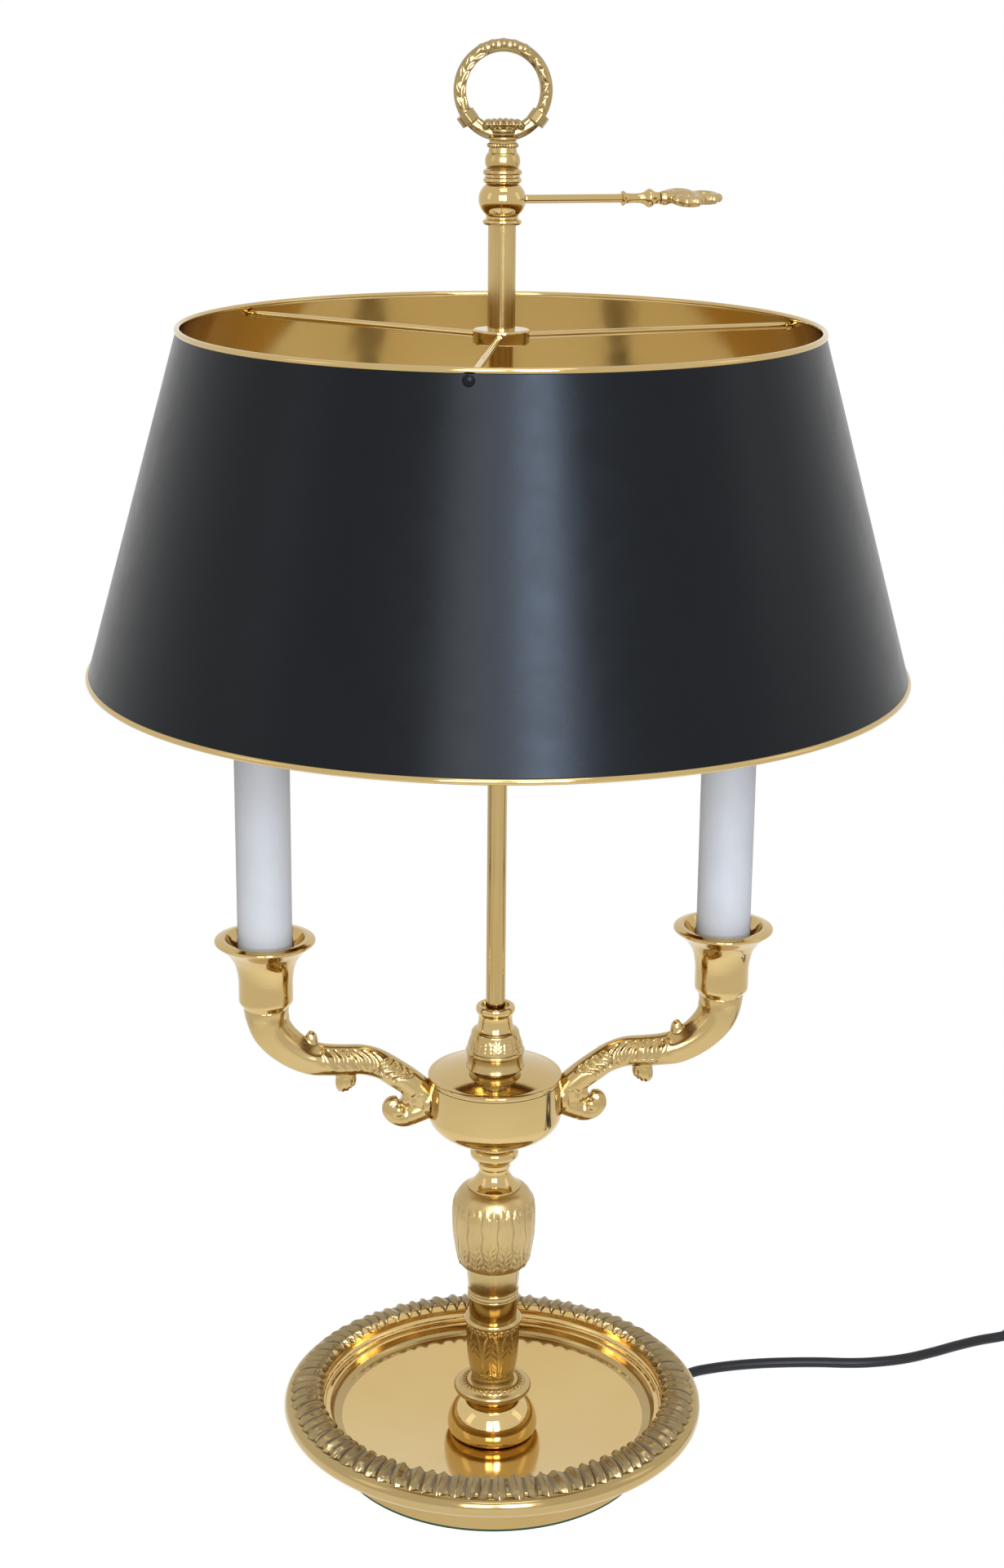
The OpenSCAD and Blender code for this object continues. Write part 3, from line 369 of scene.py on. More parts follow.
def sweep(bm, points, radii, sides=16, flat=1.0):
    """A closed tube along points, with a radius at each of them."""
    points = [Vector(p) for p in points]
    heading = (points[1] - points[0]).normalized()
    turn = Vector((0, 0, 1)).rotation_difference(heading)
    rings = []
    for i, (point, radius) in enumerate(zip(points, radii)):
        ahead = (points[min(i + 1, len(points) - 1)] - points[max(i - 1, 0)]).normalized()
        turn = heading.rotation_difference(ahead) @ turn
        heading = ahead
        place = Matrix.Translation(point) @ turn.to_matrix().to_4x4()
        place = place @ Matrix.Diagonal((1, flat, 1, 1))
        made = bmesh.ops.create_circle(bm, segments=sides, radius=radius, matrix=place)["verts"]
        rings.append(list({edge for vert in made for edge in vert.link_edges}))
    for ring, following in zip(rings, rings[1:]):
        bmesh.ops.bridge_loops(bm, edges=ring + following)
    for ring in (rings[0], rings[-1]):
        bmesh.ops.holes_fill(bm, edges=ring, sides=0)
    bmesh.ops.recalc_face_normals(bm, faces=bm.faces)
    return bm


def ball(bm, centre, radius, stretch=(1, 1, 1), turn=None, detail=16):
    """A ball, or an egg or leaf shape where it is stretched and turned."""
    place = Matrix.Translation(centre)
    if turn:
        place = place @ turn.to_matrix().to_4x4()
    place = place @ Matrix.Diagonal((*stretch, 1))
    bmesh.ops.create_uvsphere(bm, u_segments=detail, v_segments=detail * 3 // 4, radius=radius,
                              matrix=place)


def cone(bm, place, depth, radius, top, segments=32):
    """A closed cylinder or cone round its own upright axis."""
    bmesh.ops.create_cone(bm, cap_ends=True, segments=segments, radius1=radius, radius2=top,
                          depth=depth, matrix=place)


def lying(x, z):
    """The place of a part that is made upright and lies along X."""
    return Matrix.Translation((x, 0, z)) @ Matrix.Rotation(pi / 2, 4, "Y")


def one_skin(bm, voxel, soften=2):
    """One closed skin round all the shapes in bm, as a casting is one piece."""
    mesh = mesh_of("rough", bm)
    rough = placed("rough", mesh)
    skin = rough.modifiers.new("skin", "REMESH")
    skin.mode = "VOXEL"
    skin.voxel_size = voxel
    depsgraph = bpy.context.evaluated_depsgraph_get()
    done = bpy.data.meshes.new_from_object(rough.evaluated_get(depsgraph))
    out = bmesh.new()
    out.from_mesh(done)
    bpy.data.objects.remove(rough)
    bpy.data.meshes.remove(mesh)
    bpy.data.meshes.remove(done)
    for _ in range(soften):
        bmesh.ops.smooth_vert(out, verts=out.verts, factor=0.5, use_axis_x=True, use_axis_y=True,
                              use_axis_z=True)
    bmesh.ops.recalc_face_normals(out, faces=out.faces)
    return out


def dress(material, *nodes):
    """Gives CAD nodes that keep their own shape their material."""
    for node in nodes:
        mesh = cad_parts[node].data
        mesh.materials.clear()
        mesh.materials.append(material)


# ---------- camera ----------

def place_camera():
    """The camera stands a little to the left, looking down on the lamp at 16.5 degrees."""
    left_turn, down, roll = radians(6.1), radians(16.54), radians(0.51)
    ahead = Vector((sin(left_turn), cos(left_turn), 0))
    right = Vector((cos(left_turn), -sin(left_turn), 0))
    forward = ahead * cos(down) - Vector((0, 0, sin(down)))
    up = ahead * sin(down) + Vector((0, 0, cos(down)))
    across = right * cos(roll) + up * sin(roll)
    upright = up * cos(roll) - right * sin(roll)
    data = bpy.data.cameras.new("camera")
    data.sensor_fit = "VERTICAL"
    data.sensor_height = 36
    data.lens = 60.26
    data.clip_end = 50
    camera = placed("camera", data)
    place = Matrix((across, upright, -forward)).transposed().to_4x4()
    place.translation = right * 0.002 - ahead * 1.095 + Vector((0, 0, 0.65))
    camera.matrix_world = place
    bpy.context.scene.camera = camera


place_camera()


# ---------- cord, its strain reliefs, switch and plug ----------

CORD_R = 2.5
LEAD_ROUTE = [
    (24.8, 13, 5.2), (35.5, 18.5, 6.5), (46.7, 24.3, 7.3), (57.8, 30.1, 8), (66.9, 34.9, 8),
    (77.1, 40.1, 7), (85.2, 44.4, 4.4), (94.3, 49.3, 2.7), (100, 52.6, 2.5), (107, 56.4, 2.5),
    (115, 58.6, 2.5), (124, 60.2, 2.5), (136, 61.3, 2.5), (150, 61.4, 2.5), (170, 60, 2.5),
    (187, 57.8, 2.5), (199, 57.8, 2.5), (214, 59.9, 2.5), (229, 64.8, 2.5), (243, 70.4, 2.5),
    (257, 75.2, 2.5), (268, 77.4, 2.7), (278, 78.4, 4), (285, 78.2, 6.2), (291, 78, 7),
    (297, 78, 7),
]
LINK_ROUTE = [
    (347, 78, 7), (353, 78, 7), (359, 78.4, 6.4), (368, 79.6, 4.8), (380, 83.2, 3.6),
    (391, 85.4, 3.5),
]
TAIL_ROUTE = [
    (393, 10.4, 8.4), (384, 8.4, 7.8), (376, 4.6, 7.2), (369, 1.2, 6.9), (362, 0, 6.85),
    (354.5, 0, 6.85),
]
COIL_X, COIL_Y, COIL_Z = 402, 48, 3.5
COIL_OUT_R = 37.5
COIL_TURNS = 6.5
POINTS_A_TURN = 16


def coil_route():
    """Turns wound clockwise: four inwards on the bottom, then outwards again on top of them."""
    route = []
    for i in range(int(COIL_TURNS * POINTS_A_TURN) + 1):
        t = i / POINTS_A_TURN
        inward = sum(ease(t, k - 0.2, k - 0.06) for k in (1, 2, 3))
        outward = sum(ease(t, k - 0.2, k - 0.06) for k in (4, 5, 6))
        radius = COIL_OUT_R - 2 * CORD_R * (inward - outward)
        height = COIL_Z + 2 * CORD_R * ease(t, 3.33, 3.47)
        angle = radians(90 - 360 * t)
        x, y = COIL_X + radius * cos(angle), COIL_Y + radius * sin(angle)
        route.append((x, y, height))
    return route


def metres(points):
    """Points in metres, from points in millimetres."""
    return [tuple(c * MM for c in point) for point in points]


def make_cord():
    """The whole lead as one curve: through the switch, round the coil and into the plug."""
    route = metres(LEAD_ROUTE + LINK_ROUTE + coil_route() + TAIL_ROUTE)
    curve = bpy.data.curves.new("lead", "CURVE")
    curve.dimensions = "3D"
    curve.bevel_depth = CORD_R * MM
    curve.bevel_resolution = 4
    curve.use_fill_caps = True
    spline = curve.splines.new("BEZIER")
    spline.resolution_u = 5
    spline.bezier_points.add(len(route) - 1)
    for knot, place in zip(spline.bezier_points, route):
        knot.co = place
        knot.handle_left_type = knot.handle_right_type = "AUTO"
    curve.materials.append(cord_black)
    lead = placed("lead", curve)
    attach(lead, "base")
    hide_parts("cord_lead", "cord_tail", "cord_coil")
    return lead


def relief(name, route, wide, *nodes):
    """A tapered strain relief moulded round the lead, with grooves that let it bend."""
    line = smooth(route, 6)
    last = len(line) - 1
    radii = []
    for i in range(last + 1):
        taper = wide + (CORD_R + 0.35 - wide) * i / last
        radii.append(taper - (0.45 if i % 4 == 2 and 3 < i < last - 2 else 0))
    bm = sweep(bmesh.new(), line, radii, 24)
    return finish_piece(name, bm, plug_black, "black_lead", *nodes)


lead = make_cord()
foot_relief = relief("foot_relief", [(67.9, 35.4, 8)] + LEAD_ROUTE[5:8], 4.1, "cord_bushing")
switch_relief_in = relief(
    "switch_relief_in", [(293, 78, 7), (285, 78.2, 6.2), (278, 78.4, 4.2), (270, 77.7, 3)], 3.9)
switch_relief_out = relief(
    "switch_relief_out", [(351, 78, 7), (359, 78.4, 6.4), (368, 79.6, 4.8), (374, 81.2, 4)], 3.9)
plug_relief = relief("plug_relief", [(361, 0, 6.85)] + TAIL_ROUTE[3:0:-1], 3.8)


def bevelled(bm, width, segments=3, sharper_than=30):
    """Rounds the edges of a moulded part."""
    bm.normal_update()
    edges = [e for e in bm.edges if len(e.link_faces) == 2
             and e.calc_face_angle(0) > radians(sharper_than)]
    bmesh.ops.bevel(bm, geom=edges, offset=width, segments=segments, profile=0.5,
                    affect="EDGES", material=-1)
    return bm


def slab(outline, low, high):
    """An outline in the table's plane, raised from one level to another."""
    bm = bmesh.new()
    face = bm.faces.new([bm.verts.new((x, y, low)) for x, y in outline])
    top = bmesh.ops.extrude_face_region(bm, geom=[face])["geom"]
    moved = [v for v in top if isinstance(v, bmesh.types.BMVert)]
    bmesh.ops.translate(bm, vec=(0, 0, high - low), verts=moved)
    bmesh.ops.recalc_face_normals(bm, faces=bm.faces)
    return bm


def rounded_oblong(length, width, corner, steps=8):
    points = []
    for quarter, (sx, sy) in enumerate(((1, 1), (-1, 1), (-1, -1), (1, -1))):
        points += [(x + sx * (length / 2 - corner), y + sy * (width / 2 - corner))
                   for x, y in arc(0, 0, corner, corner, 90 * quarter, 90 * quarter + 90, steps)]
    return points


def make_switch():
    """An in-line rocker switch: two shells with a finger hollow round the rocker."""
    x, y, split, top = 322, 78, 7, 15
    outline = [(x + px, y + py) for px, py in rounded_oblong(60, 27, 7)]
    lower = bevelled(slab(outline, 0.1, split - 0.12), 0.9)
    finish_piece("switch_lower_shell", lower, plug_black, "black_plastic", "switch_bottom")
    upper = slab(outline, split + 0.12, top)
    lid = max(upper.faces, key=lambda f: f.calc_center_median().z)
    bmesh.ops.inset_region(upper, faces=[lid], thickness=3.2, use_even_offset=True)
    lid = max(upper.faces, key=lambda f: (round(f.calc_center_median().z, 3), f.calc_area()))
    bmesh.ops.inset_region(upper, faces=[lid], thickness=1.2, use_even_offset=True)
    lid = max(upper.faces, key=lambda f: (len(f.verts), f.calc_area(), f.calc_center_median().z))
    bmesh.ops.translate(upper, vec=(0, 0, -0.6), verts=lid.verts)
    bevelled(upper, 0.7)
    finish_piece("switch_upper_shell", upper, plug_black, "black_plastic", "switch_top")


make_switch()


def make_plug():
    """A flat two-pin plug with a waisted grip; its pins are the solids' own."""
    x, thick = 356, 13.7
    side = [(2, 4.6), (8, 5.4), (16, 8.4), (24, 14), (28, 16.6), (30.5, 17.6), (36, 17.6)]
    side = [(x - length, width) for length, width in smooth(side, 3)]
    outline = side + [(px, -py) for px, py in reversed(side)]
    body = bevelled(slab(outline, 0.1, thick - 0.1), 2.2, 4, 50)
    return finish_piece("plug_grip", body, plug_black, "black_plastic", "plug_body")


plug = make_plug()
dress(drawn, "plug_pins", "switch_contacts")
dress(zinc, "switch_screws", "cord_clamp", "clamp_screws")
dress(rocker_black, "switch_rocker")
dress(cord_black, "coil_tie", "stem_wire")


# ---------- base ----------

BASE_R = half_width("base_dish")
FOOT_R = 73.2
FELT_TOP_Z = levels("foot_felt")[1]
LIP_Z = 26
FLOOR_Z = levels("stem_ball")[0]
FLOOR_EDGE_R = BASE_R - 24.5
FLOOR_FLAT_R = 17
FLOOR_T = 2.4
LEAVES = 83
CREST_R = BASE_R - 14
BAND_Z = LIP_Z + 1.5


def floor_at(r):
    """Level of the dish's floor at a radius: flat inside, then rising to its edge."""
    return FLOOR_Z + 9.7 * (max(r - FLOOR_FLAT_R, 0) / (FLOOR_EDGE_R - FLOOR_FLAT_R)) ** 1.2


def make_dish():
    """The turned dish: foot wall, rolled lip, seat of the leaf band, two steps and the floor."""
    across = FLOOR_EDGE_R - FLOOR_FLAT_R
    floor = [(r, floor_at(r)) for r in (FLOOR_EDGE_R - across * i / 24 for i in range(25))]
    under = [(r, floor_at(r) - FLOOR_T) for r in (20, 28, 36, 44, 52, 60, 66)]
    section = (
        [(FOOT_R - 3, FELT_TOP_Z), (FOOT_R - 0.8, FELT_TOP_Z)]
        + arc(FOOT_R - 0.8, FELT_TOP_Z + 0.8, 0.8, 0.8, -90, 0, 4)
        + [(FOOT_R + 0.1, 6), (FOOT_R + 0.4, LIP_Z - 12)]
        + arc(FOOT_R + 6.4, LIP_Z - 12, 6, 5.6, 180, 96, 8)
        + smooth([(BASE_R - 14.5, LIP_Z - 5.6), (BASE_R - 10, LIP_Z - 4.6),
                  (BASE_R - 6.4, LIP_Z - 4.2)], 3)
        + arc(BASE_R - 3.4, LIP_Z - 0.8, 3.4, 4.2, -92, 95, 20)
        + arc(CREST_R, BAND_Z, 9.7, 5.1, 22, 90, 12)
        + arc(CREST_R, BAND_Z, 3.0, 5.1, 98, 176, 8)
        + [(BASE_R - 17.3, LIP_Z + 0.4)]
        + arc(BASE_R - 18.4, LIP_Z - 0.9, 0.9, 0.8, 60, 180, 6)
        + [(BASE_R - 19.5, LIP_Z - 1.7)]
        + arc(BASE_R - 20.7, LIP_Z - 2.5, 0.9, 0.7, 80, 180, 6)
        + arc(FLOOR_EDGE_R, LIP_Z - 4, 2.7, 3.3, -4, -80, 8)
        + floor
        + [(6, FLOOR_Z), (6, 5.6), (FLOOR_FLAT_R, 5.6)]
        + under
        + [(FOOT_R - 3, 13)]
    )
    bm = turned(section, steps=288)
    # Painted light and shade: the floor and inner steps take the lightened dish brass, the outer
    # rim and foot wall the darkened rim brass.
    for face in bm.faces:
        centre = face.calc_center_median()
        r = centre.xy.length
        face.material_index = int(r > CREST_R or (r > FOOT_R - 2 and centre.z < LIP_Z - 5))
    finish_piece("dish", bm, (dish_brass_painted_light, rim_brass_painted_shade), "polished_brass", "base_dish")


def leaf_height(side, along):
    """Height of one leaf of the band.

    side runs from 0 at its vein to 1 at its edge, along from 0 at its inner tip to 1 outside.
    """
    point = ease(along, 0.02 + 0.26 * side, 0.09 + 0.28 * side)
    corner = ease(side, 0.45, 0.95)
    blunt = 1 - ease(along, 0.98 - 0.30 * corner, 1.0 - 0.24 * corner)
    blade = point * blunt * (1 - 0.9 * side)
    pleats = 0.30 * (1 - ridge(2.5 * side + 0.4 * along, 0.7)) * window(along, 0.25, 0.9, 0.1)
    notch = 0.55 * (1 - ridge(2.2 * along + 0.8 * side, 0.6)) * ease(side, 0.2, 0.6)
    return 2.2 * blade - blade * (pleats + notch) - 1.05


def make_leaf_band():
    """The ring of small leaves over the rim's crest, pointed inwards and blunt outwards."""
    outer = arc(CREST_R, BAND_Z, 10.5, 6, 6, 90, 22)
    inner = arc(CREST_R, BAND_Z, 3.6, 6, 96, 176, 12)
    seat = [(CREST_R - 2.4, LIP_Z - 0.4), (BASE_R - 5.4, LIP_Z - 0.4)]
    bm = turned(outer + inner + seat, steps=LEAVES * 14)

    def height(r, angle, z):
        if z < LIP_Z - 0.2:
            return 0
        wide = 10.5 if r > CREST_R else 3.6
        seen = degrees(atan2((z - BAND_Z) / 6, (r - CREST_R) / wide))
        along = 1 - 0.64 * (seen - 6) / 84 if r > CREST_R else 0.36 * (176 - seen) / 86
        turn = angle / tau * LEAVES
        wander = 0.13 * sin(turn * 1.7 + 2 * along) + 0.10 * sin(turn * 0.61 + along * 3)
        uneven = 1 + 0.12 * sin(turn * 0.83) + 0.08 * sin(turn * 2.9)
        return leaf_height(1 - ridge(turn + wander), along) * uneven

    chased(bm, height, 0.95)
    finish_piece("dish_leaf_band", bm, band_brass, "polished_brass", crease=60)


make_dish()
make_leaf_band()
dress(baize, "foot_felt")


# ---------- stem ----------

BALL_SWELL = 1.3


def make_ball():
    """The ball under the flange, swelled beyond the solid."""
    low, tall = span("stem_ball")
    wide = half_width("stem_ball") + BALL_SWELL
    side = [(0.86, 0), (0.94, 0.05), (0.985, 0.14), (1, 0.25), (0.985, 0.39), (0.93, 0.57),
            (0.83, 0.75), (0.69, 0.90), (0.55, 0.99)]
    bm = turned(smooth([(wide * r, tall * z) for r, z in side], 6) + [(8, tall)], PIPE_BORE, low)
    # The ball takes the lightened dish brass: painted light.
    finish_piece("ball_foot", bm, dish_brass_painted_light, "polished_brass", "stem_ball")


def make_flange():
    """The disc above the ball, with a ring of fine beads on its top."""
    low, tall = span("stem_flange")
    outline = ([(11.6, 0), (14, 0.8)] + arc(15.9, 4.2, 2, 2.1, -75, 70, 14) + [(15.5, tall - 1.2)]
               + arc(13.6, tall - 1.2, 1.6, 1.3, 10, 170, 16) + [(11.8, tall - 0.1), (11, tall)])
    beads = 34

    def height(r, angle, up):
        on_top = window(r, 12.5, 14.8, 0.3) * ease(up, tall - 1.6, tall - 0.7)
        return on_top * (0.6 * ridge(angle / tau * beads, 0.6) - 0.4)

    bm = chased(turned(outline, PIPE_BORE, low, beads * 10), height, low=low)
    finish_piece("beaded_flange", bm, cast, "cast_brass", "stem_flange")


def make_sleeve():
    """The leaf sleeve: tall leaves that fall from a row of small beads under the lip."""
    low, tall = span("stem_sleeve")
    body = smooth([(9.6, 3.9), (10.3, 5.9), (11, 8.7), (11.8, 14.7), (12.1, 21.4), (12.4, 28.4),
                   (12.4, 30)], 8)
    outline = [(10.4, 0), (9.8, 2)] + body + arc(12, 31.7, 1.2, 1.5, -66, 80, 12) + [(11.8, tall)]
    leaves, beads = 9, 26

    def height(r, angle, up):
        side = 1 - ridge(angle / tau * leaves)
        on_body = window(up, 6, 27.4, 1.0) * ease(r, 9.5, 10)
        edge = abs(side - 0.9 * (1 - ((up - 5) / 24) ** 2) ** 0.5) if 5 < up < 29 else 1
        outlined = -0.17 * (1 - ease(edge, 0.03, 0.2))
        vein = -0.15 * (1 - ease(side, 0.02, 0.12))
        ribs = -0.12 * (1 - ridge(up / 3.4 + 1.5 * side, 0.6)) * window(side, 0.2, 0.7, 0.1)
        on_row = window(up, 28.6, 29.8, 0.4) * ease(r, 11.8, 12.2)
        row = 0.5 * ridge(angle / tau * beads, 0.6) - 0.3
        return on_body * (outlined + vein + ribs) + on_row * row

    bm = chased(turned(outline, PIPE_BORE, low, beads * 12), height, 0.5, low)
    finish_piece("leaf_sleeve", bm, cast, "cast_brass", "stem_sleeve")


def make_band():
    low, tall = span("stem_band")
    outline = ([(11, 0), (11.1, 9.6)] + arc(11.2, 10.7, 0.7, 0.8, -85, 85, 8)
               + arc(11.2, 13.7, 0.7, 0.8, -85, 85, 8)
               + smooth([(11.6, 15.2), (11.9, 18), (12.2, 21.2), (12.6, tall)], 5))
    bm = turned(outline, PIPE_BORE, low)
    # The band takes the darkened rim brass: painted shade.
    finish_piece("beaded_band", bm, rim_brass_painted_shade, "polished_brass", "stem_band")


def make_urn():
    """The urn: upright leaves with pointed lower tips, and a ring of small tips on its shoulder."""
    low, tall = span("stem_urn")
    body = smooth([(12.6, 0.05), (14.6, 0.3), (16, 1.5), (16.7, 3.1), (17.2, 5.7), (18, 10.3),
                   (18.6, 14.7), (19, 19.7), (19.1, 25)], 10)
    outline = [(12, 0)] + body + arc(12.2, 25.5, 6.9, 13, 3, 84, 34) + [(12.4, tall)]
    leaves = 16

    def height(r, angle, up):
        turn = angle / tau * leaves
        side = 1 - ridge(turn + 0.05 * sin(up * 0.5 + turn * 2.3))
        tip = 1.0 + 6.5 * side ** 1.8
        on_leaf = ease(up, tip - 0.4, tip + 0.5) * (1 - ease(up, 30, 34)) * ease(r, 12.6, 13.4)
        streaks = 1 - ridge(turn * 3 + 0.25 * sin(up * 0.4 + turn), 0.7)
        crown = on_leaf * (0.14 * (1 - side ** 2) - 0.16 * streaks)
        gap = -0.32 * ease(side, 0.86, 0.99) * window(up, 6, 30, 1)
        vein = -0.2 * (1 - ease(side, 0.02, 0.12)) * window(up, 5, 29, 2.5)
        ribs = -0.10 * (1 - ridge(up / 3.1 - 1.3 * side, 0.6)) * window(side, 0.25, 0.75, 0.1)
        beyond = -0.14 * (1 - on_leaf) * window(up, 0.4, 7, 0.6)
        small = ridge(turn * 2, 0.7)
        shoulder = window(up, 30.4, 33.4 - 1.4 * (1 - small), 0.6) * (0.62 * small - 0.34)
        return crown + gap + vein + ribs * window(up, 4, 14, 3) + beyond + shoulder

    bm = chased(turned(outline, PIPE_BORE, low, leaves * 24), height, low=low)
    finish_piece("leaf_urn", bm, matt_cast, "cast_brass", "stem_urn")


def make_neck():
    low, tall = span("stem_neck")
    outline = ([(12.2, 0), (12.2, 0.9), (10.9, 1.7), (9.8, 2.6), (9, 3.6)]
               + arc(11.2, 8, 4.2, 4.6, 210, 150, 12) + [(7.6, 12), (8.8, 13.2), (9.2, 14)]
               + arc(9.9, 16.2, 1.1, 1.5, -80, 0, 8)
               + [(11, 18.2), (10.4, 19.4), (9.5, 20), (9.5, tall)])
    bm = turned(outline, PIPE_BORE, low)
    finish_piece("neck", bm, polished, "polished_brass", "stem_neck")


for make in (make_ball, make_flange, make_sleeve, make_band, make_urn, make_neck):
    make()
dress(drawn, "stem_tube", "holder_nipples")
dress(zinc, "pipe_locknuts", "rod_nut", "arm_nuts", "bulb_caps")
dress(nylon, "connector_block", "guide_bush")
dress(wire_white, "arm_wires")
dress(holder_black, "lampholder_left", "lampholder_right")


# ---------- hub ----------

DRUM_R = half_width("hub_bowl")
DRUM_T = 2.5
DRUM_MID_Z = 171
DRUM_STEPS = 224


def make_bowl():
    low, tall = span("hub_bowl")
    mid = DRUM_MID_Z - low
    outer = [(9.8, 0)] + arc(10, mid, DRUM_R - 10, mid, -90, 0, 24) + [(DRUM_R, tall)]
    inner = arc(10, mid, DRUM_R - 10 - DRUM_T, mid - DRUM_T, 0, -90, 16)
    section = outer + [(DRUM_R - DRUM_T, tall)] + inner + [(PIPE_BORE, DRUM_T), (PIPE_BORE, 0)]
    bm = turned(section, low=low, steps=DRUM_STEPS)
    finish_piece("drum", bm, polished, "polished_brass", "hub_bowl")


def make_lid():
    """The lid with its rolled edge and its top, a flat part of a ball of 91 mm radius."""
    low, tall = span("hub_lid")
    edge = levels("hub_bowl")[1] - low
    outline = ([(DRUM_R - 2.7, 0), (DRUM_R - 2.7, edge + 0.05), (DRUM_R - 0.5, edge + 0.05)]
               + arc(DRUM_R - 0.5, edge + 0.5, 0.5, 0.45, -90, 0, 4)
               + arc(DRUM_R - 1, edge + 1.4, 1, 1, 0, 70, 6)
               + arc(0, tall - 0.9901 * 91, 91, 91, 71.9, 81.9, 14) + [(12, tall)])
    bm = turned(outline, ROD_BORE, low, DRUM_STEPS)
    finish_piece("drum_lid", bm, polished, "polished_brass", "hub_lid")


def make_bell():
    """The bell on the lid, with a skirt of chased leaves."""
    low, tall = span("hub_bell")
    outline = ([(13.1, 0), (12.9, 0.7), (12.6, 1.7), (12.4, 3.7), (12.6, 5.8)]
               + arc(12.3, 7.2, 1, 1.2, -70, 80, 10)
               + smooth([(12.4, 8.8), (11.9, 11), (11.4, 12.6), (10.9, 14.1)], 10)
               + arc(8.6, tall - 1.9, 2.2, 1.9, 4, 80, 8) + [(8.6, tall)])
    leaves = 14

    def height(r, angle, up):
        turn = angle / tau * leaves
        side = 1 - ridge(turn)
        on_skirt = window(up, 9.2 + 0.8 * side, 14.6 - 1.6 * side, 0.5) * ease(r, 9.8, 10.4)
        vein = -0.16 * (1 - ease(side, 0.04, 0.22)) - 0.26 * ease(side, 0.78, 1)
        ribs = -0.11 * (1 - ridge(up / 1.7 - 1.2 * side + 0.3 * sin(turn * 2.1), 0.6))
        return on_skirt * (0.22 + vein + ribs)

    bm = chased(turned(outline, ROD_BORE, low, leaves * 20), height, 0.45, low)
    finish_piece("leaf_bell", bm, cast, "cast_brass", "hub_bell")


def make_collar():
    low, tall = span("rod_collar")
    outline = ([(8.6, 0), (8, 1.8), (7.6, 4), (7.6, 6.4)]
               + arc(7.6, tall - 1.9, 1.2, 1.9, -65, 95, 14)
               + [(6.3, tall - 0.4), (6.1, tall - 1.6)])
    bm = turned(outline, ROD_BORE, low)
    finish_piece("rolled_collar", bm, polished, "polished_brass", "rod_collar")


def make_rod():
    low, tall = span("rod")
    step = levels("finial_neck")[0] - low
    bm = turned([(4.3, 0), (4.3, step), (3, step), (3, tall)], 0, low, 64)
    finish_piece("centre_rod", bm, drawn, "drawn_brass", "rod")


for make in (make_bowl, make_lid, make_bell, make_collar, make_rod):
    make()


# ---------- arms ----------

ARM_LINE = [
    (29, 6.2, 176.9), (34.5, 6.3, 182.7), (40, 6.3, 187.4), (44.6, 6.4, 190.6), (49, 6.3, 193.7),
    (54, 6.6, 196.2), (60, 6.8, 197.8), (67, 7, 197.9), (74, 7.2, 198.1), (80, 7.4, 198.8),
    (86, 7.6, 200.9), (91.6, 8, 204.4), (96.6, 8.5, 209), (100.2, 9, 214.2), (101.7, 9.6, 219.7),
    (102, 10.15, 224.6),
]
VOLUTE_LINE = [
    (30, 5.6, 174.5), (36, 5.6, 172), (41, 5.1, 169.9), (44.9, 4.2, 170.2), (47.4, 3.7, 173),
    (46.6, 3.4, 176.2), (43.8, 2.8, 176.8),
]
FORK_LINE = [(33, 5.6, 178), (38, 5.2, 179), (42, 4.2, 179.8)]
DROP_LINE = [(66.4, 4.2, 193), (67, 4.9, 188.8), (67.4, 4.5, 185.8), (66.8, 3.0, 183.8)]
CURL_LINE = [(89, 4.6, 203.4), (85.4, 3.6, 205), (82.8, 2.9, 207.2), (82.2, 2.5, 209.6),
             (84, 1.9, 210.8)]


def limb(bm, line, pieces=5, sides=28):
    """A swept limb in the lamp's front plane, from a line of (x, radius, z)."""
    run = smooth(line, pieces)
    sweep(bm, [(x, 0, z) for x, _, z in run], [r for _, r, _ in run], sides)


def arm_casting():
    """The right arm's rough casting: limb, volute with its eye, buds and the boss at the drum."""
    bm = bmesh.new()
    for line in (ARM_LINE, VOLUTE_LINE, FORK_LINE, DROP_LINE, CURL_LINE):
        limb(bm, line)
    ball(bm, (43.6, 0, 173.4), 4.2, (1, 1.3, 1))
    cone(bm, lying(31.2, 176.9), 3, 7.2, 6.6, 40)
    return one_skin(bm, 0.42, 4)


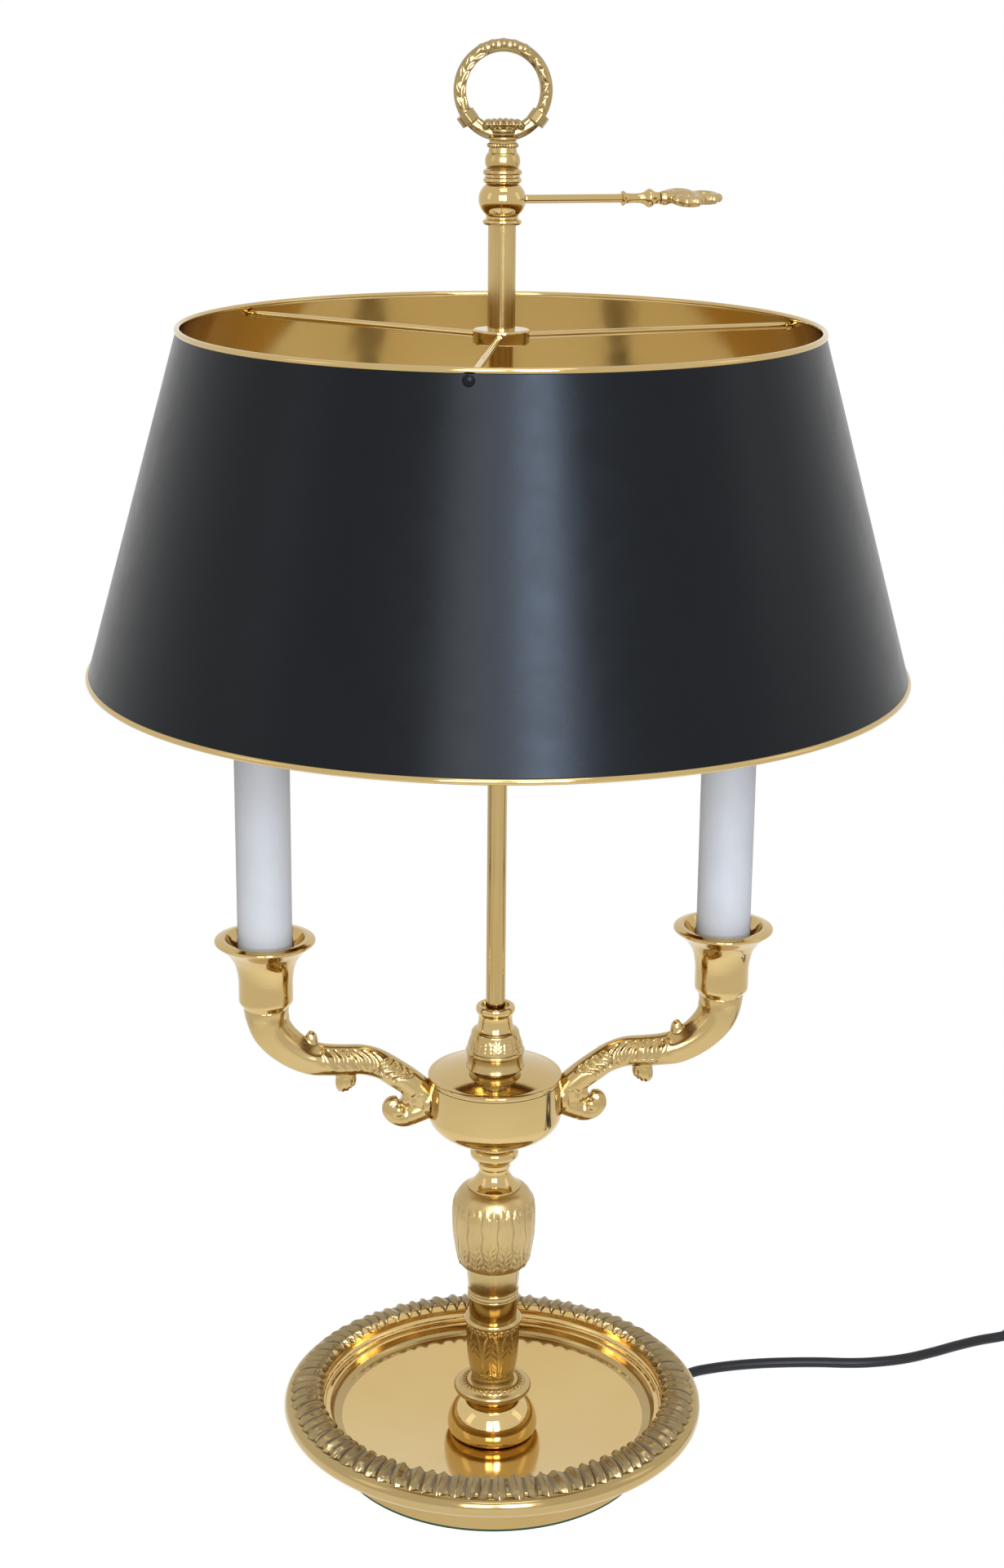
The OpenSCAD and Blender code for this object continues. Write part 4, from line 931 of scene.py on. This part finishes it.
def chase_arm(bm):
    """Cuts the leaves, the elbow's shallow channels and the incised lines into the arm."""
    run = smooth(ARM_LINE, 8)
    tree = kdtree.KDTree(len(run))
    for i, (x, _, z) in enumerate(run):
        tree.insert((x, 0, z), i)
    tree.balance()
    reach = [0]
    for (x0, _, z0), (x1, _, z1) in zip(run, run[1:]):
        reach.append(reach[-1] + hypot(x1 - x0, z1 - z0))
    hollow = bm.verts.layers.float.new("hollow")
    bm.normal_update()
    moves = []
    for vert in bm.verts:
        co = vert.co
        _, i, _ = tree.find((co.x, 0, co.z))
        x, radius, z = run[i]
        before, after = run[max(i - 1, 0)], run[min(i + 1, len(run) - 1)]
        along = Vector((after[0] - before[0], 0, after[2] - before[2])).normalized()
        above = Vector((-along.z, 0, along.x))
        out = co - Vector((x, 0, z))
        height = out.dot(above)
        spot = reach[i] + out.dot(along)
        around = atan2(abs(out.y), height) / pi
        off_limb = ease(abs(out.length - radius), 1.2, 2.6)
        cut = 0
        for start, end, pitch, lean in ((15, 30, 3.7, -13), (27, 42, 3.4, 15), (40, 54, 3.9, 12)):
            place = spot + lean * (around - 0.38) + 0.7 * sin(around * 17 + start)
            field = window(place, start + 2, end - 2, 1.5) * window(around, 0.2, 0.58, 0.07)
            cut -= 0.85 * field * (1 - ridge(place / pitch, 0.8))
            border = abs(spot + lean * (around - 0.38) - end)
            cut += 0.35 * (1 - ease(border, 0.5, 1.4)) * window(around, 0.2, 0.6, 0.05)
        dirt = min(max(-cut / 1.1, 0), 1) * (1 - off_limb)
        channel = window(spot, 60, 88, 5) * cos(around * tau * 2.5) * 0.34
        cut = (cut + channel) * (1 - off_limb)
        web = hypot(co.x - 27, co.z - 173)
        if co.z < 183 and co.x < 43:
            cut -= 0.3 * (1 - ease(abs(web - 12.5), 0.4, 1.4)) * ease(abs(co.y), 1.5, 3)
        bud = hypot(co.x - 68, co.z - 187)
        if co.z < 190.4 and co.x > 60:
            petal = atan2(co.y, co.x - 67.6) / tau * 8
            cut -= 0.5 * (1 - ridge(petal, 0.7)) * (1 - ease(bud, 5, 7))
        vert[hollow] = dirt
        moves.append((vert, vert.normal * cut))
    for vert, move in moves:
        vert.co += move


def make_arms():
    """The right arm, and the left one as its mirror image."""
    casting = arm_casting()
    chase_arm(casting)
    for side in RIGHT_AND_LEFT:
        bm = casting.copy()
        if side < 0:
            bmesh.ops.scale(bm, vec=(-1, 1, 1), verts=bm.verts)
            bmesh.ops.reverse_faces(bm, faces=bm.faces)
        name = "right" if side > 0 else "left"
        finish_piece(f"scroll_arm_{name}", bm, cast, "cast_brass", f"arm_{name}", crease=70)
    casting.free()


make_arms()


# ---------- cups, candles and bulbs ----------

def make_cup(name, x):
    low = levels(f"cup_{name}")[0]
    lip = half_width(f"cup_{name}")
    sleeve = levels(f"candle_{name}")[0] - low
    flare = [(0, 17), (0.3, 20), (0.95, 23.5), (2, 26.5), (3.6, 29), (5.6, 31.5), (8.4, 34)]
    section = (
        [(PIPE_BORE, 0), (9.5, 0), (9.6, 0.4), (9.8, 4.4), (10.2, 5.4), (11.6, 7), (11.95, 7.8)]
        + [(12, 9), (12, 13)]
        + smooth([(12 + w * (lip - 12) / 10.2, z) for w, z in flare], 4)
        + arc(lip - 0.7, 35.8, 0.7, 0.8, -50, 80, 10) + arc(lip - 3.6, 35.4, 2.6, 1.8, 60, 115, 8)
        + smooth([(16.4, 34.6), (14.8, 31.6), (13.4, 28.4), (CANDLE_R + 0.3, sleeve + 1.6)], 4)
        + [(CANDLE_R + 0.12, sleeve), (9.6, sleeve), (9.6, 8.6), (8.5, 7.4), (8.5, 3.5)]
        + [(PIPE_BORE, 3.5)]
    )
    bm = turned(section, low=low, steps=128, at=x)
    finish_piece(f"candle_cup_{name}", bm, polished, "polished_brass", f"cup_{name}")


def make_candle(name, x):
    """The sleeve, with a slightly softened top edge."""
    low, tall = span(f"candle_{name}")
    inner = CANDLE_R - 1
    section = ([(inner, 0), (CANDLE_R, 0), (CANDLE_R, tall - 0.5)]
               + arc(CANDLE_R - 0.5, tall - 0.5, 0.5, 0.5, 0, 180, 6) + [(inner, tall - 0.5)])
    bm = turned(section, low=low, steps=96, at=x)
    finish_piece(f"candle_sleeve_{name}", bm, candle_white, "white_sleeve", f"candle_{name}")


def make_bulb(name, x):
    low, tall = span(f"bulb_glass_{name}")
    radius = half_width(f"bulb_glass_{name}")
    outline = smooth([(6.7, 0), (6.9, 4), (8.6, 9), (13.2, 16), (radius - 0.4, 24), (radius, 30),
                      (radius - 1.2, 38), (12.8, 50), (8.4, 59), (4.2, 66.4), (1.8, tall - 1)], 4)
    bm = turned(outline + [(0.8, tall)], 0, low, 72, x)
    finish_piece(f"candle_bulb_{name}", bm, opal, "opal_glass", f"bulb_glass_{name}")


for name, x in (("right", ARM_REACH), ("left", -ARM_REACH)):
    make_cup(name, x)
    make_candle(name, x)
    make_bulb(name, x)


# ---------- shade and its carrier ----------

BEAD_R = 1.3
SHADE_LOW_Z, SHADE_HIGH_Z = levels("rim_bead_bottom")[0], levels("rim_bead_top")[1]
SHADE_LOW_R = half_width("rim_bead_bottom") - BEAD_R
SHADE_HIGH_R = half_width("rim_bead_top") - BEAD_R
WALL_T = 0.7
SPIDER_Z = sum(levels("spider_rivets")) / 2


def wall_at(z):
    """Middle of the shade's wall at height z."""
    part = (z - SHADE_LOW_Z - BEAD_R) / (SHADE_HIGH_Z - SHADE_LOW_Z - 2 * BEAD_R)
    return SHADE_LOW_R + (SHADE_HIGH_R - SHADE_LOW_R) * part


def make_shade():
    """The sheet-metal cone: black outside, gold inside, with a lapped seam at the back."""
    low, high = SHADE_LOW_Z + BEAD_R, SHADE_HIGH_Z - BEAD_R
    rows = 12
    heights = [low + (high - low) * i / rows for i in range(rows + 1)]
    bm = turned([(wall_at(z) + WALL_T / 2, z) for z in heights]
                + [(wall_at(z) - WALL_T / 2, z) for z in reversed(heights)], steps=360)
    for vert in bm.verts:
        angle = degrees(atan2(vert.co.y, vert.co.x)) - 90
        if vert.co.xy.length > wall_at(vert.co.z):
            lap = 0.35 * window(angle, -2.4, 1.4, 0.9)
            vert.co += Vector((vert.co.x, vert.co.y, 0)).normalized() * lap
    bm.normal_update()
    for face in bm.faces:
        face.material_index = int(face.normal.xy.dot(face.calc_center_median().xy) <= 0)
    finish_piece("cone_shade", bm, (black_lacquer, gold_lacquer), "black_lacquer", "shade_shell",
                 body="carrier")


def make_rim(name, z, node):
    section = arc(wall_at(z), z, BEAD_R, BEAD_R, 0, 345, 23)
    bm = turned(section, steps=288)
    finish_piece(name, bm, polished, "drawn_brass", node, body="carrier")


def make_spider():
    """Three straight rods from the hub to the wall, each with a collar where it is riveted."""
    wall = wall_at(SPIDER_Z) - WALL_T / 2
    bm = bmesh.new()
    for angle in SPIDER_ANGLES:
        for start, end, radius in ((9, wall - 2.6, 1.5), (wall - 2.8, wall - 0.9, 2),
                                   (wall - 1, wall - 0.3, 1.4)):
            place = Matrix.Rotation(radians(angle), 4, "Z") @ lying((start + end) / 2, SPIDER_Z)
            cone(bm, place, end - start, radius, radius)
    finish_piece("spider_rods", bm, polished, "drawn_brass", "spider_arms", body="carrier")


def make_spider_hub():
    low, tall = span("spider_hub")
    radius = half_width("spider_hub")
    outline = ([(radius - 1.4, 0)] + arc(radius - 0.8, 0.8, 0.8, 0.8, -90, 0, 5)
               + arc(radius - 0.8, tall - 0.8, 0.8, 0.8, 0, 90, 5) + [(radius - 2, tall)])
    bm = turned(outline, 5.02, low)
    finish_piece("spider_disc", bm, polished, "drawn_brass", "spider_hub", body="carrier")


def make_slide():
    low, tall = span("slide_tube")
    disc = levels("spider_hub")[1] - low
    section = [(5, 0), (5, disc), (5.75, disc), (5.75, tall), (4.45, tall), (4.45, 0)]
    bm = turned(section, low=low, steps=96)
    finish_piece("slide_sleeve", bm, drawn, "drawn_brass", "slide_tube", body="carrier")


def make_clamp_ball():
    low, tall = span("clamp_ball")
    outline = ([(7.0, 0)] + arc(7.1, 1.05, 0.9, 1.05, -80, 80, 10) + [(6.7, 2.5), (6.6, 3)]
               + arc(0, CLAMP_Z - low, half_width("clamp_ball"), 8.4, -46, 46, 30)
               + [(6.4, tall - 3.7), (6.5, tall - 3.2)]
               + arc(6.8, tall - 1.9, 1.1, 1.2, -75, 75, 10) + [(7.3, tall - 0.5), (7.2, tall)])
    bm = turned(outline, 4.38, low)
    finish_piece("clamp_knob", bm, polished, "polished_brass", "clamp_ball", body="carrier")


make_shade()
make_rim("lower_rim", SHADE_LOW_Z + BEAD_R, "rim_bead_bottom")
make_rim("upper_rim", SHADE_HIGH_Z - BEAD_R, "rim_bead_top")
for make in (make_spider, make_spider_hub, make_slide, make_clamp_ball):
    make()
dress(black_lacquer, "spider_rivets")


# ---------- key ----------

def on_key_axis(bm, start):
    """Lays an upright part along the key's axis, from that distance off the rod's axis."""
    place = Matrix.Rotation(KEY_ANGLE, 4, "Z") @ lying(start, CLAMP_Z)
    bmesh.ops.transform(bm, matrix=place, verts=bm.verts)
    return bm


KEY_START, KEY_SHAFT = 4.4, 62.4


def make_key_shaft():
    """The screw with its thread, the slim shaft and the baluster."""
    outline = [(1.7, 0.2)]
    for i in range(5):
        outline += [(1.45, 0.5 + i), (1.8, 1.0 + i)]
    outline += [(1.75, 6), (1.75, 46.2), (2.7, 46.4), (3.1, 47), (2.7, 47.6), (2.2, 48.2)]
    outline += smooth([(2.1, 48.6), (1.9, 51), (2.0, 54), (2.5, 56), (3.5, 57.4), (3.8, 58.4),
                       (3.4, 59.4), (2.7, 60.4), (2.4, 61.4), (2.4, KEY_SHAFT)], 3)
    bm = on_key_axis(turned(outline, 0, steps=48), KEY_START)
    finish_piece("key_shaft", bm, polished, "cast_brass", "key_screw", body="key")


def make_key_bow():
    """The trefoil bow: three rings with beaded edges on a small neck."""
    bm = bmesh.new()
    lobes = [((-6.0, 11), 5.2), ((6.0, 11), 5.2), ((0, 19.6), 5.9)]
    for (y, z), radius in lobes:
        run = [(p, 0, q) for p, q in arc(y, z, radius * 0.72, radius * 0.72, 0, 360, 28)]
        sweep(bm, run, [2.3] * 29, 14)
        for p, q in arc(y, z, radius, radius, 0, 360, 7)[:-1]:
            ball(bm, (p, 0, q), 1.95, detail=12)
    limb(bm, [(0, 2.5, 0.4), (0, 3.1, 2.8), (0, 2.3, 5.4), (0, 3.2, 9.4), (0, 2.8, 14)], 3, 16)
    ball(bm, (0, 0, 12.6), 3.1, detail=12)
    bm = one_skin(bm, 0.3, 4)
    upright = Matrix.Rotation(radians(96), 3, "Z")
    bmesh.ops.rotate(bm, cent=(0, 0, 0), matrix=upright, verts=bm.verts)
    on_key_axis(bm, KEY_START + KEY_SHAFT)
    finish_piece("key_trefoil", bm, matt_cast, "cast_brass", "key_bow", body="key", crease=70)


make_key_shaft()
make_key_bow()


# ---------- finial ----------

RING_R = 17.6
RING_THICK_R = 3
RING_Z = levels("ring_finial")[1] - RING_R - RING_THICK_R


def make_finial_neck():
    """The turned neck: an egg, a reeded bead and small collars."""
    low, tall = span("finial_neck")
    outline = ([(7.6, 0)] + arc(7.2, 1, 0.8, 1, -60, 80, 8) + [(6.9, 2.4)]
               + arc(5.2, 5.4, 2, 3.6, -55, 70, 18) + [(5.7, 10)]
               + arc(5.4, 11.7, 1, 0.9, -85, 85, 10) + [(5.5, 13.2)]
               + arc(5.5, 14.4, 0.9, 0.7, -80, 80, 8) + [(4.8, tall)])
    reeds = 30

    def height(r, angle, up):
        on_bead = window(up, 11, 12.4, 0.35) * ease(r, 5, 5.6)
        return on_bead * (0.4 * ridge(angle / tau * reeds, 0.6) - 0.35)

    bm = chased(turned(outline, 3.05, low, reeds * 8), height, 0.35, low)
    finish_piece("finial_stem", bm, cast, "cast_brass", "finial_neck")


def on_ring(angle, reach=0.0, depth=0.0):
    """A place on the ring's middle line, or so far outwards and to the back of it."""
    a, r = radians(angle), RING_R + reach
    return Vector((r * cos(a), depth, RING_Z + r * sin(a)))


def leaf(bm, start, end, wide, thick, lean=0.0):
    """A pointed leaf from one place to another, with a raised middle."""
    way = end - start
    turn = Vector((1, 0, 0)).rotation_difference(way)
    if lean:
        turn = turn @ Matrix.Rotation(lean, 3, "X").to_quaternion()
    ball(bm, (start + end) / 2, 1.0, (way.length / 2, wide, thick), turn, 14)


def make_wreath():
    """The wreath: a round core, leaves up both sides, berries on top and tied ends below."""
    low = levels("finial_neck")[1]
    bm = bmesh.new()
    run = [on_ring(a) for a in range(-90, 275, 5)]
    sweep(bm, run, [2.6] * len(run), 16)
    for side in RIGHT_AND_LEFT:
        for k in range(5):
            foot = 90 - side * (122 - k * 18)
            tip = foot + side * (27 - 3 * (k % 2))
            for depth, reach in ((-1.6, 1.7), (1.6, 1.7), (-1.6, -1.3), (1.6, -1.3)):
                lean = copysign(0.7, reach * depth) + 0.15 * (k % 2)
                leaf(bm, on_ring(foot, -reach * 0.6, depth * 0.6), on_ring(tip, reach, depth),
                     2.1, 1.0, lean)
    for k in range(5):
        angle = 90 + (k - 2) * 14
        for depth in (-1.4, 1.4):
            ball(bm, on_ring(angle, 0.5, depth), 1.9, detail=12)
        ball(bm, on_ring(angle, 0.6), 2.25, detail=12)
        if k:
            ball(bm, on_ring(angle - 7, 0.4), 2.0, (1, 1.25, 1), detail=12)
    for angle in (217, 323):
        across = Matrix.Rotation(-radians(angle), 4, "Y")
        cone(bm, Matrix.Translation(on_ring(angle, 0.3)) @ across, 4.6, 4, 4, 8)
    for side in RIGHT_AND_LEFT:
        for outer in (1.6, -1.6):
            for depth in (-1, 1):
                leaf(bm, on_ring(270 + side * 52, outer, depth * 1.3),
                     on_ring(270 + side * 16, outer * 0.3, depth * 0.8), 1.6, 1.5)
    for i in range(6):
        x = (i - 2.5) * 2.3
        tall = 1.5 - 0.16 * abs(i - 2.5)
        run = [(x * (1 + 0.06 * abs(k)), 3.0 * sin(k * 0.5),
                low + 4.4 + tall * cos(k * 0.5)) for k in range(-6, 7)]
        sweep(bm, run, [1.3] * 13, 10)
    for side in RIGHT_AND_LEFT:
        run = [(side * (6.9 + 1.5 * cos(k * 0.6) * (1 - k / 14)), 0,
                low + 2.7 + 1.4 * sin(k * 0.6) * (1 - k / 14)) for k in range(11)]
        sweep(bm, run, [1.15 - 0.04 * k for k in range(11)], 10, 2)
    cone(bm, Matrix.Translation((0, 0, low + 1.5)), 2.6, 4.8, 5.0, 36)
    sweep(bm, [(x, y, low + 2) for x, y in arc(0, 0, 4.4, 4.4, 0, 360, 32)], [0.9] * 33, 10)
    bm = one_skin(bm, 0.24, 1)
    hollow = bm.verts.layers.float.new("hollow")
    for vert in bm.verts:
        x, z = vert.co.x, vert.co.z - RING_Z
        away = hypot(hypot(x, z) - RING_R, vert.co.y)
        vert[hollow] = 0.75 * (1 - ease(away, 2.0, 2.8))
    finish_piece("wreath_ring", bm, wreath_brass, "cast_brass", "ring_finial", crease=75)


make_finial_neck()
make_wreath()


# ---------- floor, light and background ----------

def seen_by_lens(shading):
    """1 for the rays that the eye follows, straight or through a mirror or glass, else 0."""
    path = shading.add("LightPath")
    glossy = shading.maths("MAXIMUM", path.outputs["Is Camera Ray"], path.outputs["Is Glossy Ray"])
    return shading.maths("MAXIMUM", glossy, path.outputs["Is Transmission Ray"])


NEAR, FAR = 0.2, 0.5
LIFT = 0.58


def make_floor():
    """A white floor that keeps the lamp's soft shadow and turns pure white further off."""
    bm = bmesh.new()
    bmesh.ops.create_grid(bm, x_segments=1, y_segments=1, size=12)
    floor = placed("floor", mesh_of("floor", bm))
    paint = Surface("white floor")
    paint.nodes.remove(paint.shader)
    distance = paint.add("VectorMath")
    distance.operation = "LENGTH"
    paint.value(distance.inputs[0], paint.place())
    seen = seen_by_lens(paint)
    far_seen = paint.maths("MULTIPLY", paint.spread(distance.outputs["Value"], NEAR, FAR), seen)
    matt = paint.add("BsdfDiffuse", Color=(0.92, 0.92, 0.92))
    glow = paint.add("Emission", Strength=paint.spread(seen, 0, 1, 0, LIFT))
    white, near, both = paint.add("Emission"), paint.add("AddShader"), paint.add("MixShader")
    paint.value(both.inputs[0], far_seen)
    for source, socket in ((matt, near.inputs[0]), (glow, near.inputs[1]), (near, both.inputs[1]),
                           (white, both.inputs[2]),
                           (both, paint.nodes["Material Output"].inputs["Surface"])):
        paint.value(socket, source.outputs[0])
    floor.data.materials.append(paint.material)


def make_world(ambient):
    """White to the eye and in reflections, and a softer light on matt surfaces."""
    world = bpy.data.worlds.new("studio")
    world.use_nodes = True
    bpy.context.scene.world = world
    shading = Shading(world.node_tree)
    shading.set(shading.nodes["Background"], Color=(1, 1, 1),
                Strength=shading.spread(seen_by_lens(shading), 0, 1, ambient, 1))


def soft_box(name, azimuth, elevation, distance, width, height, brightness, colour=(1, 1, 1)):
    """A soft box that faces the lamp: azimuth 0 is in front, brightness is next to white as 1."""
    data = bpy.data.lights.new(name, "AREA")
    data.shape = "RECTANGLE"
    data.size, data.size_y = width, height
    data.energy = brightness * pi * width * height
    data.color = colour
    a, e = radians(azimuth), radians(elevation)
    target = Vector((0, 0, 0.3))
    way = Vector((sin(a) * cos(e), -cos(a) * cos(e), sin(e)))
    place = target + distance * way
    box = placed(name, data)
    box.rotation_euler = (place - target).to_track_quat("Z", "Y").to_euler()
    box.location = place


make_floor()
make_world(0.38)
soft_box("front_window", 6, 20, 2.4, 0.5, 1.3, 23, (0.74, 0.85, 1.0))
soft_box("front_panel", -13, 20, 2.4, 0.6, 1.3, 6.5)
soft_box("overhead", 5, 68, 1.9, 0.8, 0.6, 2.4)
soft_box("side_left", -75, 25, 2.2, 0.6, 1.2, 0.5)
soft_box("side_right", 80, 25, 2.2, 0.6, 1.2, 0.5)

scene = bpy.context.scene
scene.view_settings.view_transform = "Standard"
